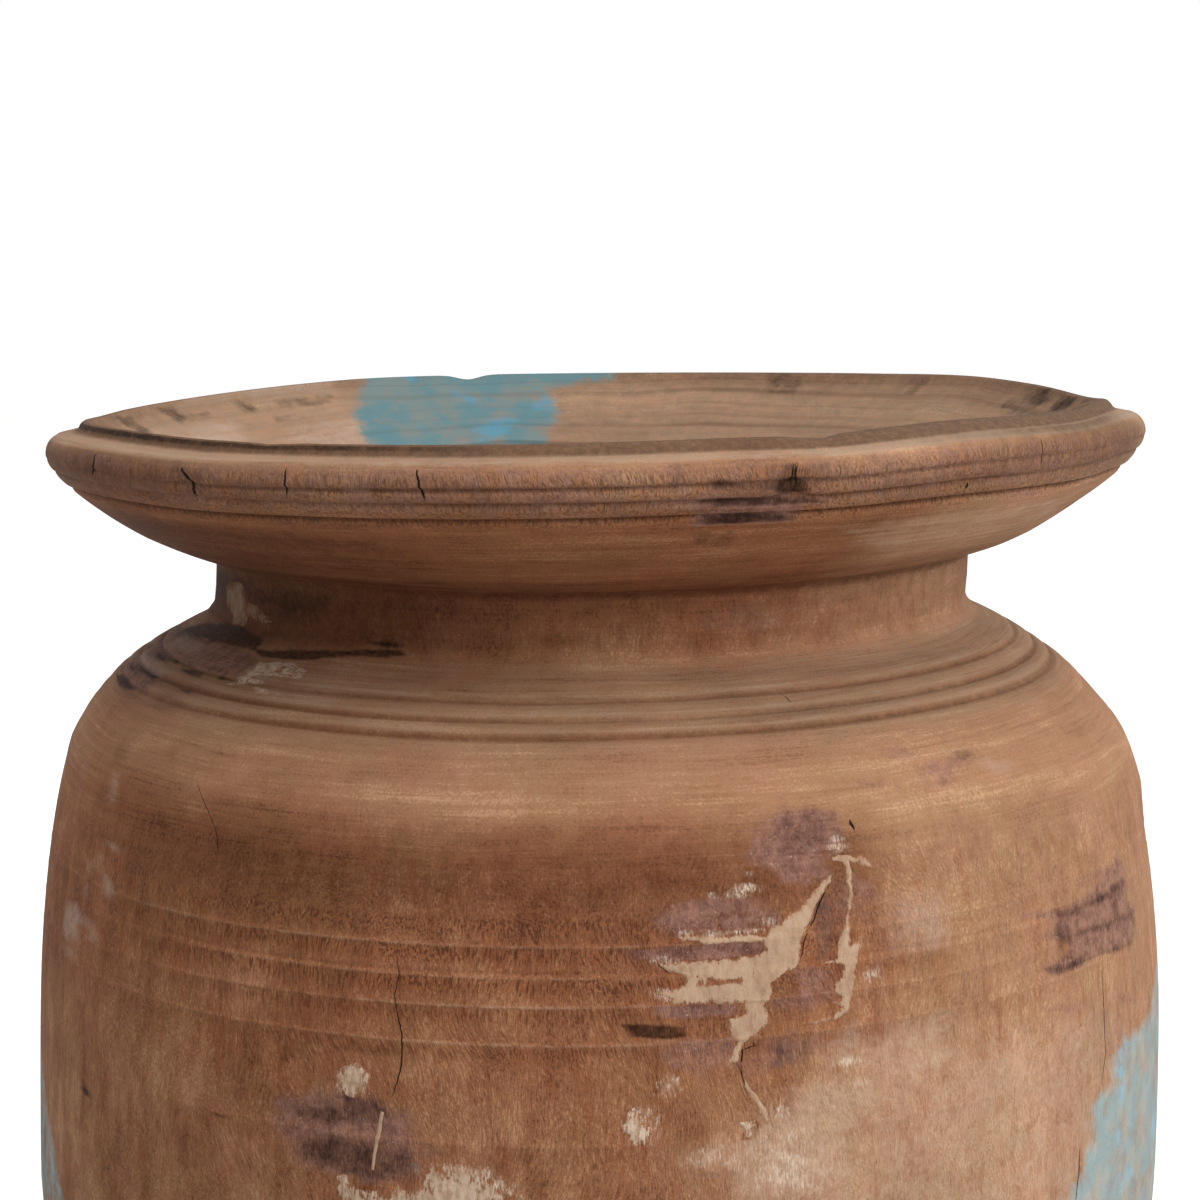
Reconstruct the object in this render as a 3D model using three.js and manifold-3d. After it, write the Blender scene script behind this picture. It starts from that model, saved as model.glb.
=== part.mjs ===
// An old wooden storage pot, turned and hollowed from one log: flared rim with a raised mouth edge, short
// neck, grooved shoulder and barrel body. Where the wood has split it is mended with hard putty, and each
// mend is a lump of its own, seated in a pocket of the wall.
// Millimetres, +Z up, the origin at the middle of the base. The front of the pot faces -Y.
import * as THREE from 'three';
import { mergeVertices } from 'three/addons/utils/BufferGeometryUtils.js';
import Module from 'manifold-3d';

const wasm = await Module();
wasm.setup();

// Overall form
const POT_HEIGHT = 380;
const BELLY_RADIUS = 177.1;
const BELLY_HEIGHT = 150;
const BASE_RADIUS = 128;
const FOOT_ROUND = 9;

// Neck and shoulder
const NECK_RADIUS = 117;
const NECK_LENGTH = 14;
const COVE = 9;
const SHOULDER_RADIUS = 163.4;
const SHOULDER_RISE = 31.5;

// Rim, with heights measured down from the mouth
const RIM_RADIUS = 169;
const RIM_DEPTH = 45;
const LIP_DROP = 9.7;
const LIP_HALF = 5.5;
const MOUTH_RADIUS = 157.5;
const MOUTH_EDGE_WIDTH = 6;
const MOUTH_EDGE_HEIGHT = 2.7;

// Hollow
const BODY_WALL = 22;
const NECK_WALL = 20;
const FLOOR = 30;
const FLOOR_ROUND = 16;

// Turned grooves: heights of the first are measured down from the mouth
const RIM_GROOVES = { count: 3, first: 11, pitch: 4.4, width: 1.8, depth: 0.9 };
const SHOULDER_GROOVES = { count: 3, first: 71.8, pitch: 3.6, width: 2.4, depth: 0.9 };
const BELLY_LINES = { count: 4, first: 129.7, pitch: 8.3, width: 3, depth: 0.35 };

// Putty mends
const MEND_DEPTH = 4;
const MEND_REACH = 16;
const SEAT_GAP = 0.3;

// Facets round the pot
const TURN_STEPS = 48;

const WOOD = new THREE.MeshStandardMaterial({ name: 'wood', color: 0x9a6f52, roughness: 0.78, metalness: 0 });
const PUTTY = new THREE.MeshStandardMaterial({ name: 'putty', color: 0xb59274, roughness: 0.95, metalness: 0 });

// Levels and places that follow from the sizes above
const CREASE_Z = POT_HEIGHT - RIM_DEPTH;
const NECK_FOOT_Z = CREASE_Z - NECK_LENGTH;
const COVE_Z = NECK_FOOT_Z - COVE;
const SHOULDER_Z = COVE_Z - SHOULDER_RISE;
const LIP_Z = POT_HEIGHT - LIP_DROP;
const LIP_TOP_Z = LIP_Z + LIP_HALF;
const CAVITY_RADIUS = BELLY_RADIUS - BODY_WALL;
const BORE_RADIUS = NECK_RADIUS - NECK_WALL;

const at = (radius, height) => new THREE.Vector2(radius, height);
const between = (a, b, share) => a + (b - a) * share;
const bezier = (...points) => new THREE.CubicBezierCurve(...points);

/** The outside wall from the base edge to the crease under the rim, as smooth curves with a step count. */
function wallCurves() {
  const foot = at(BASE_RADIUS, FOOT_ROUND);
  const belly = at(BELLY_RADIUS, BELLY_HEIGHT);
  const shoulder = at(SHOULDER_RADIUS, SHOULDER_Z);
  const coveFoot = at(NECK_RADIUS + COVE, COVE_Z);
  const neckFoot = at(NECK_RADIUS, NECK_FOOT_Z);
  const upper = SHOULDER_Z - BELLY_HEIGHT;
  const slope = SHOULDER_RADIUS - NECK_RADIUS - COVE;
  return [
    { steps: 3, curve: new THREE.QuadraticBezierCurve(
      at(BASE_RADIUS - FOOT_ROUND, 0), at(between(BASE_RADIUS, BELLY_RADIUS, -0.06), 0), foot) },
    { steps: 8, curve: bezier(
      foot, at(between(BASE_RADIUS, BELLY_RADIUS, 0.45), between(FOOT_ROUND, BELLY_HEIGHT, 0.25)),
      at(BELLY_RADIUS, between(FOOT_ROUND, BELLY_HEIGHT, 0.58)), belly) },
    { steps: 7, curve: bezier(
      belly, at(BELLY_RADIUS, BELLY_HEIGHT + 0.4 * upper),
      at(between(SHOULDER_RADIUS, BELLY_RADIUS, 0.8), SHOULDER_Z - 0.25 * upper), shoulder) },
    { steps: 7, curve: bezier(
      shoulder, at(SHOULDER_RADIUS - 0.16 * slope, SHOULDER_Z + 0.39 * SHOULDER_RISE),
      at(SHOULDER_RADIUS - 0.62 * slope, SHOULDER_Z + 0.79 * SHOULDER_RISE), coveFoot) },
    { steps: 4, curve: bezier(
      coveFoot, at(NECK_RADIUS + 0.55 * COVE, COVE_Z + 0.2 * COVE),
      at(NECK_RADIUS, COVE_Z + 0.5 * COVE), neckFoot) },
    { steps: 1, curve: new THREE.LineCurve(neckFoot, at(NECK_RADIUS, CREASE_Z)) },
  ];
}

/** The outside of the rim, from the crease up round the lip and the raised edge to the inside of the mouth. */
function rimCurves() {
  const crease = at(NECK_RADIUS, CREASE_Z);
  const lip = at(RIM_RADIUS, LIP_Z);
  const reach = RIM_RADIUS - NECK_RADIUS;
  const rise = LIP_Z - CREASE_Z;
  const lipTop = at(RIM_RADIUS - 0.5 * LIP_HALF, LIP_TOP_Z);
  const edgeFoot = at(MOUTH_RADIUS + 0.7 * MOUTH_EDGE_WIDTH, POT_HEIGHT - MOUTH_EDGE_HEIGHT);
  const edgeTop = at(MOUTH_RADIUS, POT_HEIGHT);
  const mouth = at(MOUTH_RADIUS - 0.5 * MOUTH_EDGE_WIDTH, POT_HEIGHT - 0.3 * MOUTH_EDGE_HEIGHT);
  return [
    { steps: 8, curve: bezier(
      crease, at(NECK_RADIUS + 0.4 * reach, CREASE_Z + 0.17 * rise),
      at(RIM_RADIUS - 0.02 * reach, CREASE_Z + 0.7 * rise), lip) },
    { steps: 4, curve: bezier(
      lip, at(RIM_RADIUS, LIP_Z + 0.55 * LIP_HALF), at(RIM_RADIUS - 0.12 * LIP_HALF, LIP_TOP_Z), lipTop) },
    { steps: 1, curve: new THREE.LineCurve(lipTop, edgeFoot) },
    { steps: 3, curve: new THREE.QuadraticBezierCurve(
      edgeFoot, at(MOUTH_RADIUS + 0.45 * MOUTH_EDGE_WIDTH, POT_HEIGHT), edgeTop) },
    { steps: 2, curve: new THREE.QuadraticBezierCurve(
      edgeTop, at(MOUTH_RADIUS - 0.4 * MOUTH_EDGE_WIDTH, POT_HEIGHT), mouth) },
  ];
}

/** The hollow, from the mouth down the dished rim and the neck's bore into the body and onto the floor. */
function hollowCurves() {
  const mouth = at(MOUTH_RADIUS - 0.5 * MOUTH_EDGE_WIDTH, POT_HEIGHT - 0.3 * MOUTH_EDGE_HEIGHT);
  const boreTop = at(BORE_RADIUS, CREASE_Z);
  const boreFoot = at(BORE_RADIUS, COVE_Z);
  const wallTop = at(CAVITY_RADIUS, between(BELLY_HEIGHT, SHOULDER_Z, 0.6));
  const belly = at(CAVITY_RADIUS, BELLY_HEIGHT);
  const floorEdge = at(BASE_RADIUS - BODY_WALL, FLOOR + FLOOR_ROUND);
  const floor = at(BASE_RADIUS - BODY_WALL - FLOOR_ROUND, FLOOR);
  return [
    { steps: 6, curve: bezier(
      mouth, at(between(MOUTH_RADIUS, BORE_RADIUS, 0.25), between(POT_HEIGHT, CREASE_Z, 0.27)),
      at(between(MOUTH_RADIUS, BORE_RADIUS, 0.9), between(POT_HEIGHT, CREASE_Z, 0.7)), boreTop) },
    { steps: 1, curve: new THREE.LineCurve(boreTop, boreFoot) },
    { steps: 6, curve: bezier(
      boreFoot, at(BORE_RADIUS, between(boreFoot.y, wallTop.y, 0.2)),
      at(CAVITY_RADIUS, between(boreFoot.y, wallTop.y, 0.38)), wallTop) },
    { steps: 1, curve: new THREE.LineCurve(wallTop, belly) },
    { steps: 5, curve: bezier(
      belly, at(CAVITY_RADIUS, between(FLOOR, BELLY_HEIGHT, 0.6)),
      at(between(floorEdge.x, CAVITY_RADIUS, 0.6), between(floorEdge.y, BELLY_HEIGHT, 0.22)), floorEdge) },
    { steps: 3, curve: new THREE.QuadraticBezierCurve(
      floorEdge, at(floorEdge.x - 0.35 * FLOOR_ROUND, FLOOR), floor) },
  ];
}

/** The points of a run of curves, each joint given once. */
function sampled(curves) {
  const points = [];
  for (const { curve, steps } of curves) {
    points.push(...curve.getPoints(steps).slice(points.length ? 1 : 0));
  }
  return points;
}

/** The place and inward normal a given length along a profile that runs up the outside. */
function placeAlong(points, length) {
  let walked = 0;
  for (let i = 1; i < points.length; i++) {
    const span = points[i].distanceTo(points[i - 1]);
    if (walked + span >= length || i === points.length - 1) {
      const run = points[i].clone().sub(points[i - 1]).divideScalar(span);
      const point = points[i - 1].clone().addScaledVector(run, length - walked);
      return { point, inward: at(-run.y, run.x) };
    }
    walked += span;
  }
}

/** The length along a rising profile at which it reaches a height. */
function lengthAtHeight(points, height) {
  let walked = 0;
  for (let i = 1; i < points.length; i++) {
    const span = points[i].distanceTo(points[i - 1]);
    if (points[i].y >= height) {
      return walked + span * (height - points[i - 1].y) / (points[i].y - points[i - 1].y);
    }
    walked += span;
  }
  return walked;
}

/** A rising profile with one set of turned grooves cut into it, each with sloping sides and a narrow floor. */
function grooved(points, { count, first, pitch, width, depth }) {
  const profile = [...points];
  const spots = Array.from({ length: count }, (_, i) => POT_HEIGHT - first - i * pitch)
    .map((height) => lengthAtHeight(points, height));
  for (const middle of spots) {
    const cut = [[-1, 0], [-0.3, 1], [0.3, 1], [1, 0]].map(([across, deep]) => {
      const { point, inward } = placeAlong(points, middle + across * width / 2);
      return point.addScaledVector(inward, deep * depth);
    });
    const near = (p) => cut[0].y - 1e-6 <= p.y && p.y <= cut[3].y + 1e-6;
    const from = profile.findIndex((p) => p.y > cut[0].y - 1e-6);
    const kept = profile.filter((p) => !near(p));
    profile.splice(0, profile.length, ...kept.slice(0, from), ...cut, ...kept.slice(from));
  }
  return profile;
}

/** The closed body inside a surface, from a geometry whose shared corners are merged. */
function solid(geometry) {
  geometry.deleteAttribute('normal');
  geometry.deleteAttribute('uv');
  const merged = mergeVertices(geometry, 1e-4);
  const corners = merged.index.array;
  const triVerts = [];
  for (let i = 0; i < corners.length; i += 3) {
    const [a, b, c] = corners.slice(i, i + 3);
    if (a !== b && b !== c && c !== a) triVerts.push(a, b, c);
  }
  return new wasm.Manifold(new wasm.Mesh({
    numProp: 3,
    vertProperties: merged.getAttribute('position').array,
    triVerts: new Uint32Array(triVerts),
  }));
}

/** A profile of radius and height, from axis to axis, turned round the pot's axis. */
function turned(points) {
  return solid(new THREE.LatheGeometry(points, TURN_STEPS).rotateX(Math.PI / 2));
}

/** A named mesh of a finished solid. */
function piece(name, body, material) {
  const { vertProperties, triVerts } = body.getMesh();
  const geometry = new THREE.BufferGeometry();
  geometry.setAttribute('position', new THREE.BufferAttribute(vertProperties, 3));
  geometry.setIndex(new THREE.BufferAttribute(triVerts, 1));
  geometry.computeVertexNormals();
  const mesh = new THREE.Mesh(geometry, material.clone());
  mesh.name = name;
  return mesh;
}

/** The log's wall under a mend: the outside drawn in by a depth along its normals, filled to the axis. */
function woodUnder(depth) {
  const outside = sampled(wallCurves());
  const drawnIn = outside.map((point, i) => {
    const before = outside[Math.max(i - 1, 0)];
    const after = outside[Math.min(i + 1, outside.length - 1)];
    const run = after.clone().sub(before).normalize();
    return point.clone().add(at(-run.y, run.x).multiplyScalar(depth));
  });
  const lowest = drawnIn[0].y;
  return turned([at(0, lowest), ...drawnIn, at(0, CREASE_Z)]);
}

/** An outline moved outwards all round by a distance, with mitred corners. Points run anticlockwise. */
function grown(outline, distance) {
  const ring = outline.map(([x, y]) => at(x, y));
  return ring.map((point, i) => {
    const inRun = point.clone().sub(ring[(i + ring.length - 1) % ring.length]).normalize();
    const outRun = ring[(i + 1) % ring.length].clone().sub(point).normalize();
    const mitre = at(inRun.y + outRun.y, -inRun.x - outRun.x).normalize();
    const lean = Math.max(mitre.dot(at(inRun.y, -inRun.x)), 0.25);
    return point.clone().addScaledVector(mitre, distance / lean);
  });
}

/** A prism of an outline that stands on the wall, reaching in along the radius to a depth and out past it. */
function wallPrism({ turn, drop, outline }, gap, depth) {
  const height = POT_HEIGHT - drop;
  const { point } = placeAlong(OUTSIDE, lengthAtHeight(OUTSIDE, height));
  const shape = new THREE.Shape(grown(outline, gap));
  const prism = new THREE.ExtrudeGeometry(shape, { depth: depth + MEND_REACH, bevelEnabled: false });
  prism.translate(0, 0, point.x - depth).rotateX(Math.PI / 2);
  return solid(prism.translate(0, 0, height).rotateZ(THREE.MathUtils.degToRad(turn)));
}

/** A small rounded patch outline with a ragged edge, given its width and height. */
function patch(width, height, points = 9) {
  return Array.from({ length: points }, (_, i) => {
    const angle = i / points * 2 * Math.PI;
    const ragged = i % 2 ? 0.84 : 1;
    return [ragged * width / 2 * Math.cos(angle), ragged * height / 2 * Math.sin(angle)];
  });
}

/** A hairline mend: a strip with pointed ends that leans over by a sideways offset. */
function hairline(length, width, lean) {
  const half = length / 2;
  const side = width / 2;
  return [[-lean, -half], [side, -0.3 * half], [side, 0.3 * half], [lean, half], [-side, 0.3 * half],
    [-side, -0.3 * half]];
}

// Where each mend sits: its turn from the front in degrees, how far below the mouth its middle is, and its
// outline with x to the right and y up, anticlockwise.
const MENDS = {
  main_split_putty: { turn: 13, drop: 137, outline: [
    [24, 22], [21.6, 21.3], [14.4, 13.8], [6.9, 10.6], [-2.1, 9.4], [-17.5, 10.2], [-18, 8.6], [-11.4, 6.6],
    [3.5, 5.6], [-11.4, 3.9], [-24, 4], [-17.5, 0.2], [-15.5, -2.6], [-23, -4], [-22.5, -7.6], [-1.5, -8.6],
    [-6, -13.6], [-4, -22.5], [-2.4, -18.6], [5.1, -12.8], [6.3, -7.2], [9.9, -3.3], [14.4, 1.1], [15, 6.5],
    [18.3, 11.9]] },
  side_split_putty: { turn: 22, drop: 134, outline: [
    [-0.6, 24.8], [-0.8, 22.6], [3, 20.8], [3.4, 15.4], [1.6, 8], [-0.8, 4], [-2.4, -0.4], [-5.8, -1.4],
    [-6, -3.2], [-2.2, -4.2], [-1.8, -6.6], [-4, -10], [-1.6, -12.6], [-4, -14.8], [-13.3, -17.4],
    [-13.5, -19.2], [-2.6, -17.4], [1.6, -14.4], [4, -9.6], [3.4, -4], [4.6, 0.2], [7.6, 5.6], [3.4, 4],
    [4, 6.4], [5.8, 15.5], [5.6, 20], [6.8, 20.6], [10.4, 17.6], [12.2, 18.4], [8.2, 23], [4.5, 24.6]] },
  left_patch_putty: { turn: -21.6, drop: 166.5, outline: patch(9.5, 9) },
  centre_patch_putty: { turn: 3.1, drop: 176.8, outline: patch(9, 9) },
  right_patch_putty: { turn: 12.8, drop: 179, outline: patch(6.5, 6, 7) },
  low_patch_putty: { turn: -16, drop: 194, outline: [
    [-22, 2], [-21, -5], [-12, -9], [0, -9.5], [15, -7], [22, 0], [12, 6.4], [3.7, 7], [-5, 0.4], [-14, 3.4]] },
  left_check_putty: { turn: -19.2, drop: 180, outline: hairline(14, 1.8, 1.1) },
  right_check_putty: { turn: 14.4, drop: 170.5, outline: hairline(11, 1.8, -2.2) },
  shoulder_patch_putty: { turn: -45, drop: 70.6, outline: [
    [12, 2.4], [-5, 2.6], [-11.5, -1.6], [-9, -2.8], [8, -2.6], [11, -0.6]] },
  neck_patch_putty: { turn: -58.5, drop: 54, outline: [
    [-7, 7], [-11, -1], [-8, -6], [1, -5], [11, -6.5], [4, 3], [-1, 7.2]] },
};

// Where the wood itself is open: drying cracks, a broken lip and a worm hole, each with its depth into the wood.
const BREAKS = [
  { turn: -17.6, drop: 151, depth: 9, outline: [
    [-1.9, -20], [0.4, -14.7], [1.7, -9.6], [1.7, -2.5], [0.1, 3.4], [-0.8, 8.3], [0.3, 13.3], [-1.2, 19.6],
    [-0.3, 13.3], [-1.6, 8.3], [-0.7, 3.4], [0.7, -2.5], [0.7, -9.6], [-0.4, -14.7]] },
  { turn: -40.3, drop: 103, depth: 7, outline: [
    [6.8, -9.3], [5.8, -4.5], [2.8, -0.4], [-0.6, 3.6], [-7.1, 8.8], [-1.6, 3.6], [1.8, -0.4], [5, -4.5]] },
  { turn: -40.2, drop: 10.6, depth: 4, outline: [[0.3, -4.4], [0.9, -4.2], [1.6, 4.4], [-1.4, 4.4]] },
  { turn: -56.6, drop: 9.6, depth: 3, outline: [[-0.8, -3], [-0.2, -3], [1.2, 3], [0, 3]] },
  { turn: -28.5, drop: 9.4, depth: 3, outline: hairline(6, 0.9, 0) },
  { turn: -15.5, drop: 9.6, depth: 3, outline: hairline(7, 1.1, -0.4) },
  { turn: 46, drop: 9.6, depth: 3, outline: hairline(7, 1.1, 0) },
  { turn: 18, drop: 11, depth: 2.4, outline: [
    [-4.4, 3.6], [-3.9, -1.8], [-1, -3.8], [3.8, -4.4], [5, -2.4], [4.4, 2.2], [3, 4.6], [-1.4, 5]] },
  { turn: 36.5, drop: 16.3, depth: 6, outline: patch(1.9, 1.9, 8) },
];

const OUTSIDE = sampled([...wallCurves(), ...rimCurves()]);

/** The whole log before hollowing: the grooved outside, closed over the mouth. */
function turnedLog() {
  const outside = [RIM_GROOVES, SHOULDER_GROOVES, BELLY_LINES].reduce(grooved, OUTSIDE);
  return turned([at(0, 0), ...outside, at(0, outside.at(-1).y)]);
}

/** What the hook tools took out through the mouth, open at the top. */
function hollow() {
  const inside = sampled(hollowCurves());
  const above = at(inside[0].x, POT_HEIGHT + MOUTH_EDGE_HEIGHT);
  return turned([at(0, FLOOR), ...inside.reverse(), above, at(0, above.y)]);
}

const pot = new THREE.Group();
const log = turnedLog();
const seatFloor = woodUnder(MEND_DEPTH + SEAT_GAP);
const mendFloor = woodUnder(MEND_DEPTH);
let vessel = log.subtract(hollow());
for (const opening of BREAKS) {
  vessel = vessel.subtract(wallPrism(opening, 0, opening.depth));
}
for (const [name, mend] of Object.entries(MENDS)) {
  vessel = vessel.subtract(wallPrism(mend, SEAT_GAP, MEND_REACH).subtract(seatFloor));
  pot.add(piece(name, wallPrism(mend, 0, MEND_REACH).intersect(log).subtract(mendFloor), PUTTY));
}
pot.add(piece('turned_pot', vessel, WOOD));

export default pot;
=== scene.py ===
"""Dresses an old turned wooden pot: worn brown wood, sandy putty mends, stains and remains of blue paint.

Lengths are in mm, and angles in degrees from the front towards the right, until points go into a mesh.
"""
import logging
import math
from dataclasses import dataclass
from enum import Enum

import bpy
import numpy as np
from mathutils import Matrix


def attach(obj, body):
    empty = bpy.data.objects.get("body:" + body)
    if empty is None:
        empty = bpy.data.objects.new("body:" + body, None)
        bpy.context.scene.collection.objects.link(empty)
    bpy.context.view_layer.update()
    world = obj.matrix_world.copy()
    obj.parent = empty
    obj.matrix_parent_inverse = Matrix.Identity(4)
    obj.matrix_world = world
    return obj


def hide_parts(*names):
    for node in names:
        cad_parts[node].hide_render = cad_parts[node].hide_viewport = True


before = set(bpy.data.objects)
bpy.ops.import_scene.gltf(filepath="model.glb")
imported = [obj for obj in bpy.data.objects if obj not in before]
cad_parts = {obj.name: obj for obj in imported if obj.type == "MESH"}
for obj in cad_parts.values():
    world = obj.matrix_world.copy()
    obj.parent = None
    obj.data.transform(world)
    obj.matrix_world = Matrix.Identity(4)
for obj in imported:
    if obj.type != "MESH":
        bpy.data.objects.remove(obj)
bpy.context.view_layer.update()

LOG = logging.getLogger("turned_pot")
MM = 0.001
Array = np.ndarray
Material = bpy.types.Material
Node = bpy.types.Node
Piece = bpy.types.Object
Socket = bpy.types.NodeSocket
Tree = bpy.types.NodeTree
Outline = tuple[tuple[float, float], ...]
Colour = tuple[float, float, float, float]


class Mark(Enum):
    """What lies on the wood in one place; the value names the mesh attribute that carries it."""

    STAIN = "stain"
    # its attribute also carries a painted shade line at the mouth's ridge
    SOOT = "soot"
    PAINT = "paint"
    CHALK = "chalk"
    HAZE = "haze"
    # its attribute also carries painted highlights and sheen
    RUBBED = "worn"
    TORN = "tear"


class Side(Enum):
    """Which face of the wall a mark lies on."""

    OUTSIDE = "outside"
    INSIDE = "inside"


@dataclass(frozen=True)
class Blot:
    """A mark on the wall; its outline is angle and height outside, and angle and radius in the dish."""

    mark: Mark
    outline: Outline
    strength: float
    blur: float
    side: Side


@dataclass(frozen=True)
class Check:
    """A drying crack: its path as angle and height, and its half width at top and bottom."""

    path: Outline
    half_width: float
    low_half_width: float | None = None


@dataclass(frozen=True)
class Groove:
    """A turned groove: height of its middle, half width and depth, and how much stays at the pot's sides."""

    height: float
    half_width: float
    depth: float
    at_sides: float = 1.0


@dataclass(frozen=True)
class Dent:
    """A place where wood broke out: its angle, height, half sizes and depth."""

    turn: float
    height: float
    half_wide: float
    half_tall: float
    depth: float


def smooth_step(value: Array, low: float, high: float) -> Array:
    """A soft step from 0 at low to 1 at high."""
    share = np.clip((value - low) / (high - low), 0.0, 1.0)
    return share * share * (3 - 2 * share)


def bell(value: Array, middle: Array | float, half: float) -> Array:
    """A soft hump that is 1 at its middle."""
    return np.exp(-(((value - middle) / half) ** 2))


@dataclass(frozen=True)
class Band:
    """A soft band of heights, angles or radii: 0 below low, 1 from full to ebb, 0 above high."""

    low: float
    full: float
    ebb: float
    high: float

    def share(self, value: Array) -> Array:
        """How far each value lies in the band, from 0 to 1."""
        return smooth_step(value, self.low, self.full) * (1 - smooth_step(value, self.ebb, self.high))


@dataclass(frozen=True)
class Ramp:
    """A soft step of heights, angles or radii: 0 below low and 1 above high."""

    low: float
    high: float

    def share(self, value: Array) -> Array:
        """How far each value lies up the step, from 0 to 1."""
        return smooth_step(value, self.low, self.high)


@dataclass(frozen=True)
class Hump:
    """A soft hump of heights or radii round its middle."""

    middle: float
    half: float

    def share(self, value: Array) -> Array:
        """How near each value lies to the middle, from 0 to 1."""
        return bell(value, self.middle, self.half)


def bezier(*points: tuple[float, float], steps: int = 60) -> Array:
    """Samples one curve of a profile.

    Args:
        points: the curve's control points as radius and height; two make a line, three or four a curve.
        steps: how many stretches to cut the curve into.

    Returns:
        The points along the curve, one row each.
    """
    share = np.linspace(0.0, 1.0, steps + 1)[:, None]
    rows = [np.array(point, dtype=float)[None, :] for point in points]
    while len(rows) > 1:
        rows = [(1 - share) * a + share * b for a, b in zip(rows, rows[1:])]
    return rows[0]


def joined(*curves: Array) -> Array:
    """Joins curves end to end, with each shared point kept once."""
    return np.vstack([curves[0]] + [curve[1:] for curve in curves[1:]])


def flowing(turn: Array, knots: Outline) -> Array:
    """Reads a smooth closed curve round the pot.

    Args:
        turn: angles in degrees.
        knots: angle and value of each point that the curve goes through, in rising order.

    Returns:
        The curve's value at each angle.
    """
    angles, values = np.array(knots, dtype=float).T
    angles = np.concatenate([angles[-2:] - 360.0, angles, angles[:2] + 360.0])
    values = np.concatenate([values[-2:], values, values[:2]])
    pull = np.gradient(values, angles)
    here = (turn - angles[2]) % 360.0 + angles[2]
    k = np.clip(np.searchsorted(angles, here, side="right") - 1, 0, len(angles) - 2)
    span = angles[k + 1] - angles[k]
    t = (here - angles[k]) / span
    start = values[k] * (1 + 2 * t) * (1 - t) ** 2 + pull[k] * span * t * (1 - t) ** 2
    return start + values[k + 1] * t * t * (3 - 2 * t) + pull[k + 1] * span * t * t * (t - 1)


def inside_distance(points: Array, outline: Array) -> Array:
    """Measures how deep points lie inside an outline.

    Args:
        points: places in a flat map, one row each.
        outline: the corners of a closed outline in the same map.

    Returns:
        The distance to the outline, positive inside and negative outside.
    """
    tiny = 1e-9
    nearest = np.full(len(points), np.inf)
    inside = np.zeros(len(points), dtype=bool)
    for a, b in zip(outline, np.roll(outline, -1, axis=0)):
        edge = b - a
        share = np.clip(((points - a) @ edge) / max(edge @ edge, tiny), 0.0, 1.0)
        nearest = np.minimum(nearest, np.linalg.norm(points - a - share[:, None] * edge, axis=1))
        crosses = (a[1] > points[:, 1]) != (b[1] > points[:, 1])
        rise = edge[1] if abs(edge[1]) > tiny else tiny
        inside ^= crosses & (points[:, 0] < a[0] + edge[0] * (points[:, 1] - a[1]) / rise)
    return np.where(inside, nearest, -nearest)


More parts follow.
